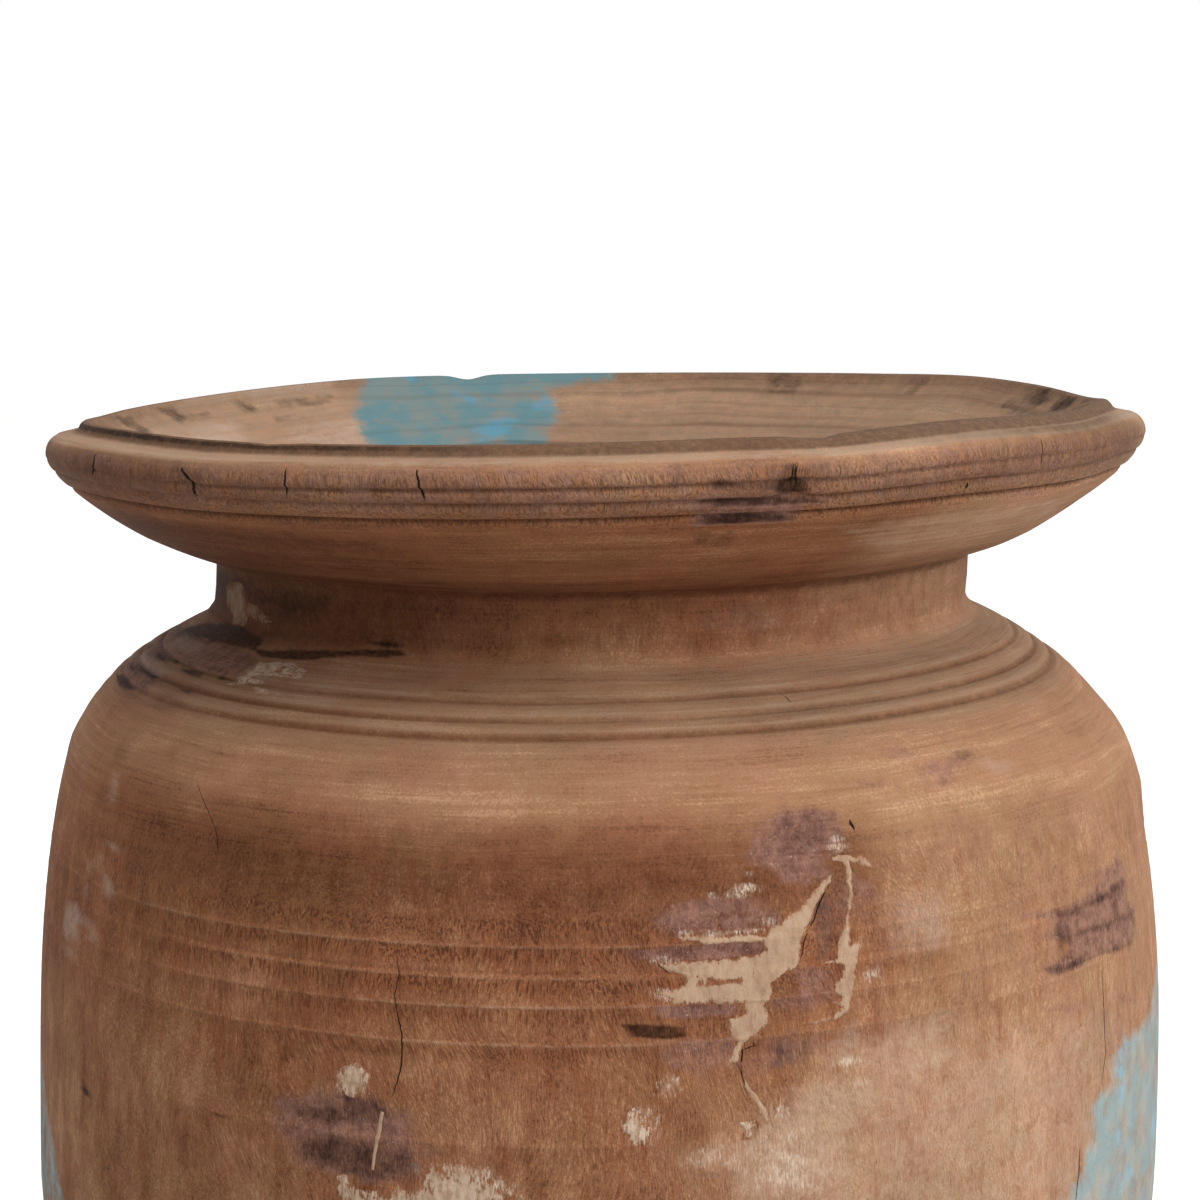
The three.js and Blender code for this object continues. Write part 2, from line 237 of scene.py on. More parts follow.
@dataclass
class PotWall:
    """The turned wall: its profile, the tool's grooves, and how age and hand have moved it."""

    grooves: tuple[Groove, ...] = (
        Groove(369.1, 0.75, 0.9, 0.2), Groove(365.0, 0.85, 0.95, 0.5), Groove(360.3, 0.95, 1.1),
        Groove(308.4, 0.8, 0.75), Groove(304.5, 0.9, 0.9), Groove(300.8, 1.1, 0.9),
        Groove(296.4, 1.0, 0.2), Groove(293.0, 0.9, 0.2), Groove(244.0, 0.6, 0.22, 0.2),
    )
    crests: tuple[Groove, ...] = (
        Groove(250.6, 0.55, 0.30, 0.3), Groove(242.6, 0.6, 0.22, 0.3), Groove(235.0, 0.5, 0.28, 0.3),
        Groove(225.5, 0.5, 0.30, 0.25), Groove(199.0, 0.7, 0.16, 0.2),
    )
    dents: tuple[Dent, ...] = (
        Dent(17.9, 368.8, 4.8, 4.6, 2.2), Dent(-40.2, 369.4, 1.4, 2.6, 1.8),
        Dent(-15.5, 371.0, 1.2, 2.2, 1.0), Dent(-56.5, 370.0, 1.8, 3.0, 0.9),
        Dent(45.8, 369.5, 1.4, 3.0, 0.6),
    )
    mouth_wave: Outline = (
        (-95, -3.2), (-85, -2.4), (-57, -0.5), (-40, -1.05), (-28, -0.8), (-15, -0.5), (0, -0.1), (12, 0.3),
        (22, 0.2), (30, 1.2), (36, 1.8), (46, 1.5), (56, 1.1), (66, 1.7), (80, 0.1), (95, -1.9), (112, -0.4),
        (124, 0.6), (142, 0.0), (160, -0.4), (180, -0.3), (200, 0.2), (212, 0.3), (221, -0.3), (231, -1.2),
        (243, -2.2), (256, -2.9),
    )
    edge_dips: Outline = ((21.8, 1.1), (197.0, 1.7), (-33.0, 0.5), (60.0, 0.5))
    ridge_wide: Outline = (
        (-95, -2.9), (-60, -2.9), (-35, -2.4), (-18, -0.8), (0, 0.8), (24, 2.3), (50, 2.2), (64, 0.9),
        (76, -1.8), (90, -2.9), (110, -2.4), (140, -1.2), (180, -0.8), (220, -1.2), (250, -2.6),
    )
    right_swell: Outline = (
        (248.5, 0.0), (257.5, 0.9), (262, 1.5), (267, 1.2), (272, 0.8), (277, 0.3), (282, -0.6),
        (286.5, -0.9), (291.5, -0.6), (297, 0.0), (333, 0.0), (336.5, 1.2), (339.5, 1.5), (343, 1.2),
        (346, 0.6), (351, 0.0),
    )
    left_swell: Outline = (
        (276, 0.0), (282, -0.5), (286.5, -0.7), (291, -0.2), (296, 0.3), (300.5, 0.9), (305, 0.9),
        (309.5, 0.6), (315, 0.7), (318, 1.0), (321, 0.4), (336, 0.3), (340.5, 0.6), (345, 0.9),
        (349, 0.6), (354, 0.2), (360, 0.0),
    )
    lean: Outline = (
        (0.0, 0.0), (100.0, -1.2), (141.0, -1.8), (169.0, -1.2), (200.0, -0.6), (230.0, -0.4), (275.0, -0.4),
        (288.0, -1.8), (302.0, -2.5), (314.0, -2.1), (326.0, -0.8), (345.0, 0.2), (358.0, 0.8), (372.0, 0.8),
        (380.0, 0.4),
    )
    row_steps: Outline = ((-1.0, 8.0), (180.0, 1.9), (290.0, 2.3), (311.0, 1.2), (323.0, 2.3), (356.0, 1.2))
    swell_band: Band = Band(48.0, 82.0, 105.0, 150.0)
    swell_most: float = 1.9
    mouth_radius: float = 157.4
    lip_height: float = 376.05
    foot_height: float = 0.5
    floor_height: float = 30.0
    uneven: float = 0.45
    waver: float = 0.45

    def __post_init__(self) -> None:
        """Samples the profile once, finely, with its length and outward normal at each point."""
        self.outside = joined(
            bezier((119.0, 0.0), (125.1, 0.0), (128.0, 9.0)),
            bezier((128.0, 9.0), (150.1, 44.3), (177.1, 90.8), (177.1, 150.0), steps=400),
            bezier((177.1, 150.0), (177.1, 202.2), (174.4, 247.9), (163.4, 280.5), steps=400),
            bezier((163.4, 280.5), (157.4, 292.8), (140.2, 305.4), (126.0, 312.0), steps=250),
            bezier((126.0, 312.0), (122.0, 313.8), (117.0, 316.5), (117.0, 321.0)),
            bezier((117.0, 321.0), (117.0, 333.0), steps=50),
            bezier((117.0, 333.0), (117.0, 335.2), (119.5, 336.1)),
            bezier((119.5, 336.1), (138.8, 341.4), (167.9, 359.7), (169.0, 370.3), steps=300),
            bezier((169.0, 370.3), (169.0, 373.0), (167.6, 375.5), (165.2, 376.1)),
        )
        self.edge = joined(
            bezier((165.2, 376.1), (161.7, 377.3), steps=24),
            bezier((161.7, 377.3), (160.2, 380.0), (157.5, 380.0), steps=24),
            bezier((157.5, 380.0), (155.1, 380.0), (154.5, 379.2), steps=16),
        )
        self.inside = joined(
            bezier((154.5, 379.2), (142.4, 367.9), (103.0, 348.5), (97.0, 335.0), steps=200),
            bezier((97.0, 335.0), (97.0, 312.0), steps=20),
            bezier((97.0, 312.0), (97.0, 295.3), (155.1, 280.2), (155.1, 228.3), steps=80),
            bezier((155.1, 228.3), (155.1, 150.0), steps=10),
            bezier((155.1, 150.0), (155.1, 102.0), (135.5, 68.9), (106.0, 46.0), steps=60),
            bezier((106.0, 46.0), (100.4, 30.0), (90.0, 30.0), steps=20),
        )
        step = np.gradient(self.outside, axis=0)
        step /= np.linalg.norm(step, axis=1)[:, None]
        self.normal = np.stack([step[:, 1], -step[:, 0]], axis=1)
        spans = np.linalg.norm(np.diff(self.outside, axis=0), axis=1)
        self.run = np.concatenate([[0.0], np.cumsum(spans)])

    def at_height(self, height: Array | float, values: Array) -> Array:
        """Reads a value that goes with the outside profile at given heights."""
        return np.interp(height, self.outside[:, 1], values)

    def radius_at(self, height: Array | float) -> Array:
        """The outside's radius at given heights."""
        return self.at_height(height, self.outside[:, 0])

    def is_outer(self, radius: Array, height: Array) -> Array:
        """Tells points of the outside from those of the inside and of the base.

        Args:
            radius: distance from the axis.
            height: height above the base.

        Returns:
            True for each point on the outside.
        """
        inner_radius, inner_height = self.inside[np.argsort(self.inside[:, 1], kind="stable")].T
        middle = 0.5 * (np.interp(height, inner_height, inner_radius) + self.radius_at(height))
        middle = np.where(height < self.floor_height - 1.0, 0.0, middle)
        middle = np.where(height > self.lip_height, self.mouth_radius, middle)
        return (radius > middle) & (height > self.foot_height)

    def middle_of(self, cut: Groove, number: int, phi: Array, aside: float = 0.0) -> Array:
        """Where along the profile a cut's middle lies; it wavers a little round the pot."""
        return self.at_height(cut.height, self.run) + aside + self.waver * self.wander(phi, 0.0, 5.1 + number)

    def rows(self) -> Array:
        """Picks the profile's points for the mesh: close together at grooves and lip, wide on plain wall.

        Returns:
            Radius and height of each point, from the middle of the base round to the middle of the floor.
        """
        cuts = self.grooves + self.crests
        marks = np.array([self.at_height(cut.height, self.run) for cut in cuts])
        wide = np.array([cut.half_width for cut in cuts])
        starts, steps = np.array(self.row_steps).T
        picked = [0.0]
        while picked[-1] < self.run[-1]:
            here = picked[-1]
            plain = steps[np.searchsorted(starts, np.interp(here, self.run, self.outside[:, 1])) - 1]
            near = np.min(0.66 * wide + np.maximum(np.abs(marks - here) - 1.4 * wide, 0.0) * 0.9)
            picked.append(here + min(plain, near))
        picked[-1] = self.run[-1]
        outer = np.stack([np.interp(picked, self.run, self.outside[:, k]) for k in (0, 1)], axis=1)
        thinned = (slice(4, 200, 9), slice(200, 220, 10), slice(222, None, 12), slice(-1, None))
        inner = np.vstack([self.inside[part] for part in thinned])
        base = np.array([[0.0, 0.0], [60.0, 0.0]])
        floor = np.array([[45.0, self.floor_height], [0.0, self.floor_height]])
        return np.vstack([base, outer, self.edge[2::6], inner, floor])

    @staticmethod
    def wander(phi: Array, height: Array | float, seed: float) -> Array:
        """A slow wave between -1 and 1 round the pot, the same on every run.

        Args:
            phi: angle in radians.
            height: height above the base, or 0 for a wave that is the same all the way up.
            seed: which wave.

        Returns:
            The wave's value at each point.
        """
        waves = ((1, 0.021, 0.5), (2, -0.034, 0.7), (3, 0.027, 1.0), (5, 0.055, 0.6), (9, -0.08, 0.4))
        total = sum(w * np.sin(n * phi + k * height + seed * (n + 1.7)) for n, k, w in waves)
        return total / sum(w for _, _, w in waves)

    def relief(self, phi: Array, height: Array) -> Array:
        """How far the outside stands out from the true profile.

        Args:
            phi: angle in radians.
            height: height above the base.

        Returns:
            The distance along the outward normal, negative in grooves and dents.
        """
        run = self.at_height(height, self.run)
        out = self.uneven * self.wander(phi, height, 2.3) * smooth_step(height, 5.0, 40.0)
        sides = np.clip(np.abs((phi + np.pi) % (2 * np.pi) - np.pi) / np.radians(70.0), 0.0, 1.0) ** 2
        for cuts, way in ((self.grooves, -1.0), (self.crests, 1.0)):
            for number, cut in enumerate(cuts):
                shape = bell(run, self.middle_of(cut, number, phi), cut.half_width)
                out = out + way * cut.depth * (1.0 + (cut.at_sides - 1.0) * sides) * shape
        for swell, side in ((self.right_swell, 1.0), (self.left_swell, -1.0)):
            out = out + self.swell_band.share(side * np.degrees(phi)) * np.interp(height, *np.array(swell).T)
        for dent in self.dents:
            across = (phi - math.radians(dent.turn)) * self.radius_at(height)
            spread = (across / dent.half_wide) ** 4 + ((height - dent.height) / dent.half_tall) ** 4
            out = out - dent.depth * np.exp(-spread)
        return out

    def settled(self, phi: Array, radius: Array, height: Array) -> Array:
        """Puts points of the true round form where the aged pot has them.

        Args:
            phi: angle in radians.
            radius: distance from the axis.
            height: height above the base.

        Returns:
            The points in metres, one row each.
        """
        turn = np.degrees(phi)
        outward = np.interp(radius, (154.5, 157.5, 161.7, 165.2), (0.0, 0.4, 1.0, 0.0))
        radius = radius + flowing(turn, self.ridge_wide) * outward * smooth_step(height, 376.0, 376.6)
        ring = np.minimum(flowing(turn, self.mouth_wave), self.swell_most)
        lifted = height + ring * smooth_step(height, 338.0, 377.0)
        for spot, depth in self.edge_dips:
            away = (turn - spot + 180.0) % 360.0 - 180.0
            lifted = lifted - depth * bell(away, 0.0, 2.1) * smooth_step(height, 377.2, 379.6)
        x = radius * np.sin(phi) + np.interp(height, *np.array(self.lean).T)
        return np.stack([x, -radius * np.cos(phi), lifted], axis=1) * MM

    def flat(self, turn: Array, height: Array, radius: float) -> Array:
        """Unrolls places on the outside into a flat map, at a given radius."""
        return np.stack([np.radians(turn) * radius, self.at_height(height, self.run)], axis=1)


class Graph:
    """Builds the nodes of one tree in a few words."""

    def __init__(self, tree: Tree) -> None:
        """Keeps the tree that the nodes go into."""
        self.tree = tree

    @classmethod
    def material(cls, name: str) -> tuple[Material, "Graph", Node]:
        """Starts a material.

        Args:
            name: the material's name.

        Returns:
            The material, its graph and its Principled BSDF.
        """
        made = bpy.data.materials.new(name)
        made.use_nodes = True
        return made, cls(made.node_tree), made.node_tree.nodes["Principled BSDF"]

    def feed(self, node: Node, inputs: dict) -> None:
        """Sets a node's inputs.

        Args:
            node: the node.
            inputs: socket name or number to a value, or to the socket that feeds it.
        """
        for name, value in inputs.items():
            if isinstance(value, Socket):
                self.tree.links.new(value, node.inputs[name])
            else:
                node.inputs[name].default_value = value

    def node(self, kind: str, inputs: dict | None = None, **settings: object) -> Node:
        """Adds a node.

        Args:
            kind: the node's type name without its ShaderNode prefix.
            inputs: socket name or number to a value, or to the socket that feeds it.
            settings: properties of the node itself.

        Returns:
            The new node.
        """
        made = self.tree.nodes.new("ShaderNode" + kind)
        for name, value in settings.items():
            setattr(made, name, value)
        self.feed(made, inputs or {})
        return made

    def group(self, tree: Tree, inputs: dict) -> Node:
        """Places a shared effect with its own values."""
        return self.node("Group", inputs, node_tree=tree)

    def place(self) -> Socket:
        """The place on the piece in mm."""
        return self.vector("MULTIPLY", self.node("TexCoord").outputs["Object"], (1000.0, 1000.0, 1000.0))

    def math(self, operation: str, a: object, b: object = 0.0, clamp: bool = False) -> Socket:
        """One step of arithmetic on two values."""
        return self.node("Math", {0: a, 1: b}, operation=operation, use_clamp=clamp).outputs[0]

    def times(self, a: object, b: object) -> Socket:
        """One value times another."""
        return self.math("MULTIPLY", a, b)

    def off_half(self, value: object, weight: object) -> Socket:
        """How far a value lies from a half, times a weight."""
        return self.times(self.math("SUBTRACT", value, 0.5), weight)

    def vector(self, operation: str, a: object, b: object) -> Socket:
        """One step of arithmetic on two vectors."""
        return self.node("VectorMath", {0: a, 1: b}, operation=operation).outputs[0]

    def tall(self, place: object, share: float) -> Socket:
        """A place with its height cut to a share, which draws a pattern out along the pot's height."""
        return self.vector("MULTIPLY", place, (1.0, 1.0, share))

    def noise(self, place: object, scale: float, detail: float = 2.0,
              rough: float = 0.55) -> Socket:
        """Soft noise between 0 and 1 over a place in mm; scale is bumps per mm."""
        sockets = {"Vector": place, "Scale": scale, "Detail": detail, "Roughness": rough}
        return self.node("TexNoise", sockets).outputs["Fac"]

    def step(self, value: object, low: object, high: object) -> Socket:
        """A soft step of a value from 0 at low to 1 at high."""
        sockets = {"Value": value, "From Min": low, "From Max": high}
        return self.node("MapRange", sockets, interpolation_type="SMOOTHSTEP").outputs["Result"]

    def total(self, parts: tuple, plus: object = 0.0) -> Socket:
        """Adds up values.

        Args:
            parts: each value with its weight.
            plus: what is added to them.

        Returns:
            The sum.
        """
        made = plus
        for value, weight in parts:
            made = self.node("Math", {0: value, 1: weight, 2: made}, operation="MULTIPLY_ADD").outputs[0]
        return made

    def blend(self, share: object, a: object, b: object, mode: str = "MIX") -> Socket:
        """Mixes colour b over colour a by a share."""
        return self.node("Mix", {0: share, 6: a, 7: b}, data_type="RGBA", blend_type=mode).outputs[2]

    def attribute(self, name: str) -> Socket:
        """A value that the mesh carries at its points."""
        return self.node("Attribute", attribute_name=name).outputs["Fac"]

    def seen(self) -> Socket:
        """Tells rays that the camera sees from rays that only light the room.

        Returns:
            1 for what is seen straight, in a reflection or through a piece, and 0 for light.
        """
        path = self.node("LightPath").outputs
        straight = self.math("MAXIMUM", path["Is Camera Ray"], path["Is Glossy Ray"])
        return self.math("MAXIMUM", straight, path["Is Transmission Ray"])


def srgb(*seen: int) -> Colour:
    """Turns a colour as seen on screen, three values from 0 to 255, into the shader's linear colour."""
    shares = [value / 255 for value in seen]
    return (*(s / 12.92 if s <= 0.04045 else ((s + 0.055) / 1.055) ** 2.4 for s in shares), 1.0)


@dataclass(frozen=True)
class WoodTones:
    """The colours of the bare wood, as seen on screen."""

    brown_dark: Colour = srgb(94, 57, 38)
    brown: Colour = srgb(134, 88, 61)
    brown_light: Colour = srgb(164, 119, 87)
    tan_dark: Colour = srgb(130, 94, 70)
    tan: Colour = srgb(156, 117, 89)
    tan_light: Colour = srgb(184, 147, 115)
    rust: Colour = srgb(146, 87, 50)
    torn: Colour = srgb(88, 51, 34)

    def sockets(self) -> dict[str, Colour]:
        """The tones by the bare wood group's socket names."""
        return {name.replace("_", " ").title(): getattr(self, name) for name in self.__dataclass_fields__}


class Effects:
    """The node groups that more than one finish uses."""

    def __init__(self) -> None:
        """Builds each effect once."""
        self.fibre = self._fibre()
        self.ragged = self._ragged()
        self.streak = self._streak()
        self.broken = self._broken()
        self.bare = self._bare()

    @staticmethod
    def _open(name: str, values: tuple[str, ...], outputs: tuple[str, ...],
              colours: tuple[str, ...] = ()) -> tuple[Graph, bpy.types.NodeOutputs, Node]:
        """Starts a node group.

        Args:
            name: the group's name.
            values: names of its inputs; Place is a vector and the rest are numbers.
            outputs: names of what it puts out; Colour is a colour and the rest are numbers.
            colours: names of the inputs that are colours.

        Returns:
            The graph, the inputs by name, and the node that takes what is put out.
        """
        kinds = {"Place": "Vector", "Colour": "Color"} | dict.fromkeys(colours, "Color")
        tree = bpy.data.node_groups.new(name, "ShaderNodeTree")
        for names, way in ((values + colours, "INPUT"), (outputs, "OUTPUT")):
            for socket in names:
                kind = "NodeSocket" + kinds.get(socket, "Float")
                tree.interface.new_socket(socket, in_out=way, socket_type=kind)
        start = tree.nodes.new("NodeGroupInput")
        return Graph(tree), start.outputs, tree.nodes.new("NodeGroupOutput")

    def _fibre(self) -> Tree:
        """Draws upright wood fibres that drift from the straight.

        Returns:
            The group: soft streaks, fine threads and torn slits.
        """
        graph, given, end = self._open("wood_fibre", ("Place", "Drift"), ("Fibre", "Thread", "Dash"))
        slow = graph.node("TexNoise", {"Vector": given["Place"], "Scale": 0.021, "Detail": 1.0})
        sway = graph.vector("SUBTRACT", slow.outputs["Color"], (0.5, 0.5, 0.5))
        sway = graph.node("VectorMath", {0: sway, "Scale": given["Drift"]}, operation="SCALE").outputs[0]
        moved = graph.vector("ADD", given["Place"], graph.tall(sway, 0.0))
        graph.feed(end, {
            "Fibre": graph.noise(graph.tall(moved, 0.22), 1.5, 3.0, 0.68),
            "Thread": graph.noise(graph.tall(moved, 0.1), 2.4, 2.0, 0.6),
            "Dash": graph.step(graph.noise(graph.tall(moved, 0.15), 1.7, 1.0, 0.5), 0.51, 0.61),
        })
        return graph.tree

    def _ragged(self) -> Tree:
        """Turns a soft field into a mask whose edge is broken up by a rough value.

        Returns:
            The group.
        """
        graph, given, end = self._open("ragged_edge", ("Field", "Rough", "Ragged", "Soft"), ("Mask",))
        rough = graph.times(given["Rough"], graph.step(given["Field"], 0.0, 0.2))
        broken = graph.total(((rough, given["Ragged"]),), given["Field"])
        low, high = (graph.math(way, 0.5, given["Soft"]) for way in ("SUBTRACT", "ADD"))
        graph.feed(end, {"Mask": graph.step(broken, low, high)})
        return graph.tree

    def _broken(self) -> Tree:
        """Breaks up an edge as wood does: along its fibres on the wall, along the turning where it slopes.

        Returns:
            The group.
        """
        graph, given, end = self._open("broken_fibre", ("Place", "Run", "Slope"), ("Rough",))
        place = given["Place"]
        streak = graph.group(self.streak, {"Place": place, "Run": given["Run"]})
        upright = graph.noise(graph.tall(place, 0.34), 1.5, 3.0, 0.7)
        sockets = {0: given["Slope"], 2: upright, 3: streak.outputs["Fine"]}
        along = graph.node("Mix", sockets, data_type="FLOAT").outputs[0]
        both = graph.math("ADD", graph.noise(place, 0.2, 3.0), along)
        graph.feed(end, {"Rough": graph.math("SUBTRACT", both, 1.0)})
        return graph.tree

    def _streak(self) -> Tree:
        """Draws streaks round the pot as the turning tool does.

        Returns:
            The group: fine lines, broad bands, hairlines and single dark lines.
        """
        graph, given, end = self._open("turning_streak", ("Place", "Run"), ("Fine", "Broad", "Hair", "Lines"))
        wobble = graph.times(graph.noise(given["Place"], 0.02, 1.0), 3.0)
        along = graph.math("ADD", given["Run"], wobble)
        parts = graph.node("SeparateXYZ", {0: given["Place"]}).outputs
        kinds = (("Fine", 0.03, 0.62, 3.0), ("Broad", 0.01, 0.16, 2.0), ("Hair", 0.05, 1.6, 2.0))
        for name, round_scale, run_scale, detail in kinds:
            x, y = (graph.times(parts[k], round_scale) for k in (0, 1))
            place = graph.node("CombineXYZ", {0: x, 1: y, 2: graph.times(along, run_scale)}).outputs[0]
            graph.feed(end, {name: graph.noise(place, 1.0, detail)})
        place = graph.node("CombineXYZ", {2: graph.times(along, 0.42)}).outputs[0]
        graph.feed(end, {"Lines": graph.step(graph.noise(place, 1.0, 1.0), 0.5, 0.66)})
        return graph.tree

    def _bare(self) -> Tree:
        """Makes clean wood: brown heart and weathered tan, blotched, streaked and torn along its fibres.

        Returns:
            The group.
        """
        graph, given, end = self._open("bare_wood", ("Place", "Run", "Slope", "Tear", "Weather"),
                                       ("Colour", "Height", "Fibre", "Tone"), tuple(WoodTones().sockets()))
        place, slope = given["Place"], given["Slope"]
        fibre = graph.group(self.fibre, {"Place": place, "Drift": 30.0}).outputs
        streak = graph.group(self.streak, {"Place": place, "Run": given["Run"]}).outputs
        wall = graph.math("SUBTRACT", 1.0, slope, clamp=True)
        patchy = graph.noise(graph.tall(place, 1.2), 0.02, 3.0, 0.6)
        cloudy = graph.noise(graph.tall(place, 0.5), 0.12, 3.0, 0.6)
        grain = graph.noise(place, 1.4, 2.0, 0.6)
        grown = (fibre["Fibre"], fibre["Thread"], cloudy)
        upright, threads, clouds = (graph.off_half(value, wall) for value in grown)
        around, bands, hairs = (graph.off_half(streak[name], slope) for name in ("Fine", "Broad", "Hair"))
        tone = graph.total(((patchy, 0.6), (grain, 0.65), (clouds, 0.7), (upright, 0.95), (threads, 0.8),
                            (bands, 0.7), (around, 0.65), (hairs, 0.55)), 0.5 - 0.5 * (0.6 + 0.65))
        pair = []
        for name in ("Brown", "Tan"):
            low = graph.blend(graph.step(tone, 0.15, 0.5), given[name + " Dark"], given[name])
            pair.append(graph.blend(graph.step(tone, 0.5, 0.85), low, given[name + " Light"]))
        shift = graph.total(((clouds, 0.6), (patchy, 0.8), (given["Weather"], 1.0)), -0.4)
        colour = graph.blend(graph.step(shift, 0.1, 0.9), *pair)
        hue = graph.noise(graph.tall(place, 0.7), 0.045, 3.0, 0.6)
        tint = graph.blend(graph.step(hue, 0.35, 0.65), (1.03, 0.97, 0.98, 1.0), (0.97, 1.0, 0.94, 1.0))
        colour = graph.blend(0.8, colour, tint, "MULTIPLY")
        red = graph.times(graph.step(graph.noise(graph.tall(place, 0.16), 0.3, 3.0), 0.48, 0.66), wall)
        colour = graph.blend(graph.times(red, 0.6), colour, (0.8, 0.62, 0.52, 1.0), "MULTIPLY")
        warm = graph.times(given["Tear"], graph.step(cloudy, 0.38, 0.68))
        colour = graph.blend(graph.times(warm, 0.5), colour, given["Rust"])
        slit = graph.times(fibre["Dash"], graph.step(given["Tear"], 0.1, 1.0))
        colour = graph.blend(graph.math("MULTIPLY", slit, 0.8, clamp=True), colour, given["Torn"])
        height = graph.total(((upright, 0.7), (threads, 0.5), (around, 0.35), (hairs, 0.3), (grain, 0.3),
                              (slit, -0.5)))
        graph.feed(end, {"Colour": colour, "Height": height, "Fibre": fibre["Fibre"], "Tone": tone})
        return graph.tree


@dataclass(frozen=True)
class Film:
    """How a mark lies on the wood: how broken, soft and patchy it is, how much it hides and how it mixes."""

    tint: object
    ragged: float
    soft: float
    patchy: float
    most: float
    mode: str = "MIX"
    hairy: bool = False


@dataclass(frozen=True)
class WornWood:
    """The pot's own finish: bare brown wood, stained, dirty in the grooves, with remains of blue paint, and
    with shade and highlights painted into its colour.
    """

    tones: WoodTones = WoodTones()
    stain_dark: Colour = srgb(90, 59, 52)
    stain_light: Colour = srgb(153, 113, 98)
    # dark tint for soot and for painted shade
    soot: Colour = (0.13, 0.105, 0.1, 1.0)
    # dark tint for dirt and for painted shade
    dirt: Colour = (0.35, 0.29, 0.25, 1.0)
    chalk: Colour = srgb(206, 184, 164)
    # pale tint for rubbed wear and for painted highlights and sheen
    worn: Colour = srgb(188, 160, 136)
    haze: Colour = srgb(182, 160, 144)
    dust: Colour = srgb(140, 121, 103)
    # reddish-brown tint for dirt in the shoulder's grooves and painted shade under the belly's crests
    groove: Colour = (0.56, 0.40, 0.31, 1.0)
    paint: Colour = srgb(132, 162, 166)
    paint_grey: Colour = srgb(158, 164, 158)
    paint_bright: Colour = srgb(116, 182, 206)
    shade: Colour = (0.42, 0.49, 0.51, 1.0)
    crack: Colour = srgb(24, 15, 11)
    roughness: float = 0.62
    fibre_roughness: float = 0.25
    shine: float = 0.07
    bump: float = 0.6
    bump_height: float = 0.0009

    def build(self, effects: Effects) -> Material:
        """Makes the material.

        Args:
            effects: the shared node groups.

        Returns:
            The finished material.
        """
        material, graph, shader = Graph.material("worn_wood")
        place = graph.place()
        given = {name: graph.attribute(name.lower()) for name in ("Run", "Slope", "Tear", "Weather")}
        bare = graph.group(effects.bare, {"Place": place, **given, **self.tones.sockets()}).outputs
        broken = graph.group(effects.broken, {"Place": place, "Run": given["Run"], "Slope": given["Slope"]})
        colour = self._aged(graph, bare, place, broken.outputs["Rough"], effects)
        colour, paint = self._painted(graph, colour, place, broken.outputs["Rough"], effects)
        streak = graph.group(effects.streak, {"Place": place, "Run": given["Run"]})
        rings = graph.times(streak.outputs["Lines"], graph.attribute("rings"))
        colour = graph.blend(rings, colour, self.dirt, "MULTIPLY")
        check = self._checks(graph, place)
        height = graph.total(((bare["Height"], 1.0), (check, -1.4), (paint, 0.15)))
        bump = graph.node("Bump", {"Height": height, "Strength": self.bump, "Distance": self.bump_height})
        graph.feed(shader, {
            "Base Color": graph.blend(check, colour, self.crack), "Normal": bump.outputs[0],
            "Roughness": graph.total(((bare["Fibre"], self.fibre_roughness),), self.roughness),
            "Specular IOR Level": self.shine,
        })
        return material

    def _aged(self, graph: Graph, bare: bpy.types.NodeOutputs, place: object, rough: object,
              effects: Effects) -> Socket:
        """Lays dirt, stains, soot, worn edges, dust and chalky remains over the wood, with painted shade
        under the rim and painted highlights on edges and crests.

        Args:
            graph: the material's graph.
            bare: what the bare wood group puts out.
            place: the place on the pot in mm.
            rough: the value that breaks up edges.
            effects: the shared node groups.

        Returns:
            The aged colour.
        """
        cloud = graph.step(graph.noise(place, 0.3, 5.0, 0.72), 0.36, 0.62)
        depth = graph.total(((graph.step(bare["Tone"], 0.15, 0.85), 0.45), (cloud, 0.55)))
        stain = graph.blend(depth, self.stain_dark, self.stain_light)
        specks = graph.step(graph.noise(place, 0.9, 2.0), 0.66, 0.72)
        stain = graph.blend(graph.times(specks, 0.5), stain, self.haze)
        # the dark films also carry painted shade, and the pale rubbed film painted highlights and sheen
        films = {
            "worn": Film(self.worn, 1.0, 0.42, 0.5, 0.6), "dust": Film(self.dust, 0.5, 0.5, 0.3, 0.85),
            "dirt": Film(self.dirt, 0.5, 0.46, 0.22, 0.95, "MULTIPLY"),
            "groove": Film(self.groove, 0.4, 0.5, 0.3, 0.92, "MULTIPLY"),
            "stain": Film(stain, 1.0, 0.3, 0.3, 0.95),
            "soot": Film(self.soot, 0.55, 0.3, 0.2, 0.97, "MULTIPLY"),
            "haze": Film(self.haze, 0.7, 0.45, 0.5, 0.6),
            "chalk": Film(self.chalk, 1.5, 0.3, 0.8, 0.85, hairy=True),
        }
        mottle = graph.step(graph.noise(place, 0.55, 4.0, 0.7), 0.32, 0.62)
        hair = graph.step(graph.noise(graph.tall(place, 0.24), 1.7, 3.0, 0.65), 0.4, 0.6)
        colour = bare["Colour"]
        for name, film in films.items():
            edge = {"Rough": rough, "Ragged": film.ragged, "Soft": film.soft}
            mask = graph.group(effects.ragged, {"Field": graph.attribute(name), **edge}).outputs["Mask"]
            share = film.patchy * film.most
            thin = graph.total(((hair if film.hairy else mottle, share),), film.most - share)
            colour = graph.blend(graph.times(mask, thin), colour, film.tint, film.mode)
        return colour

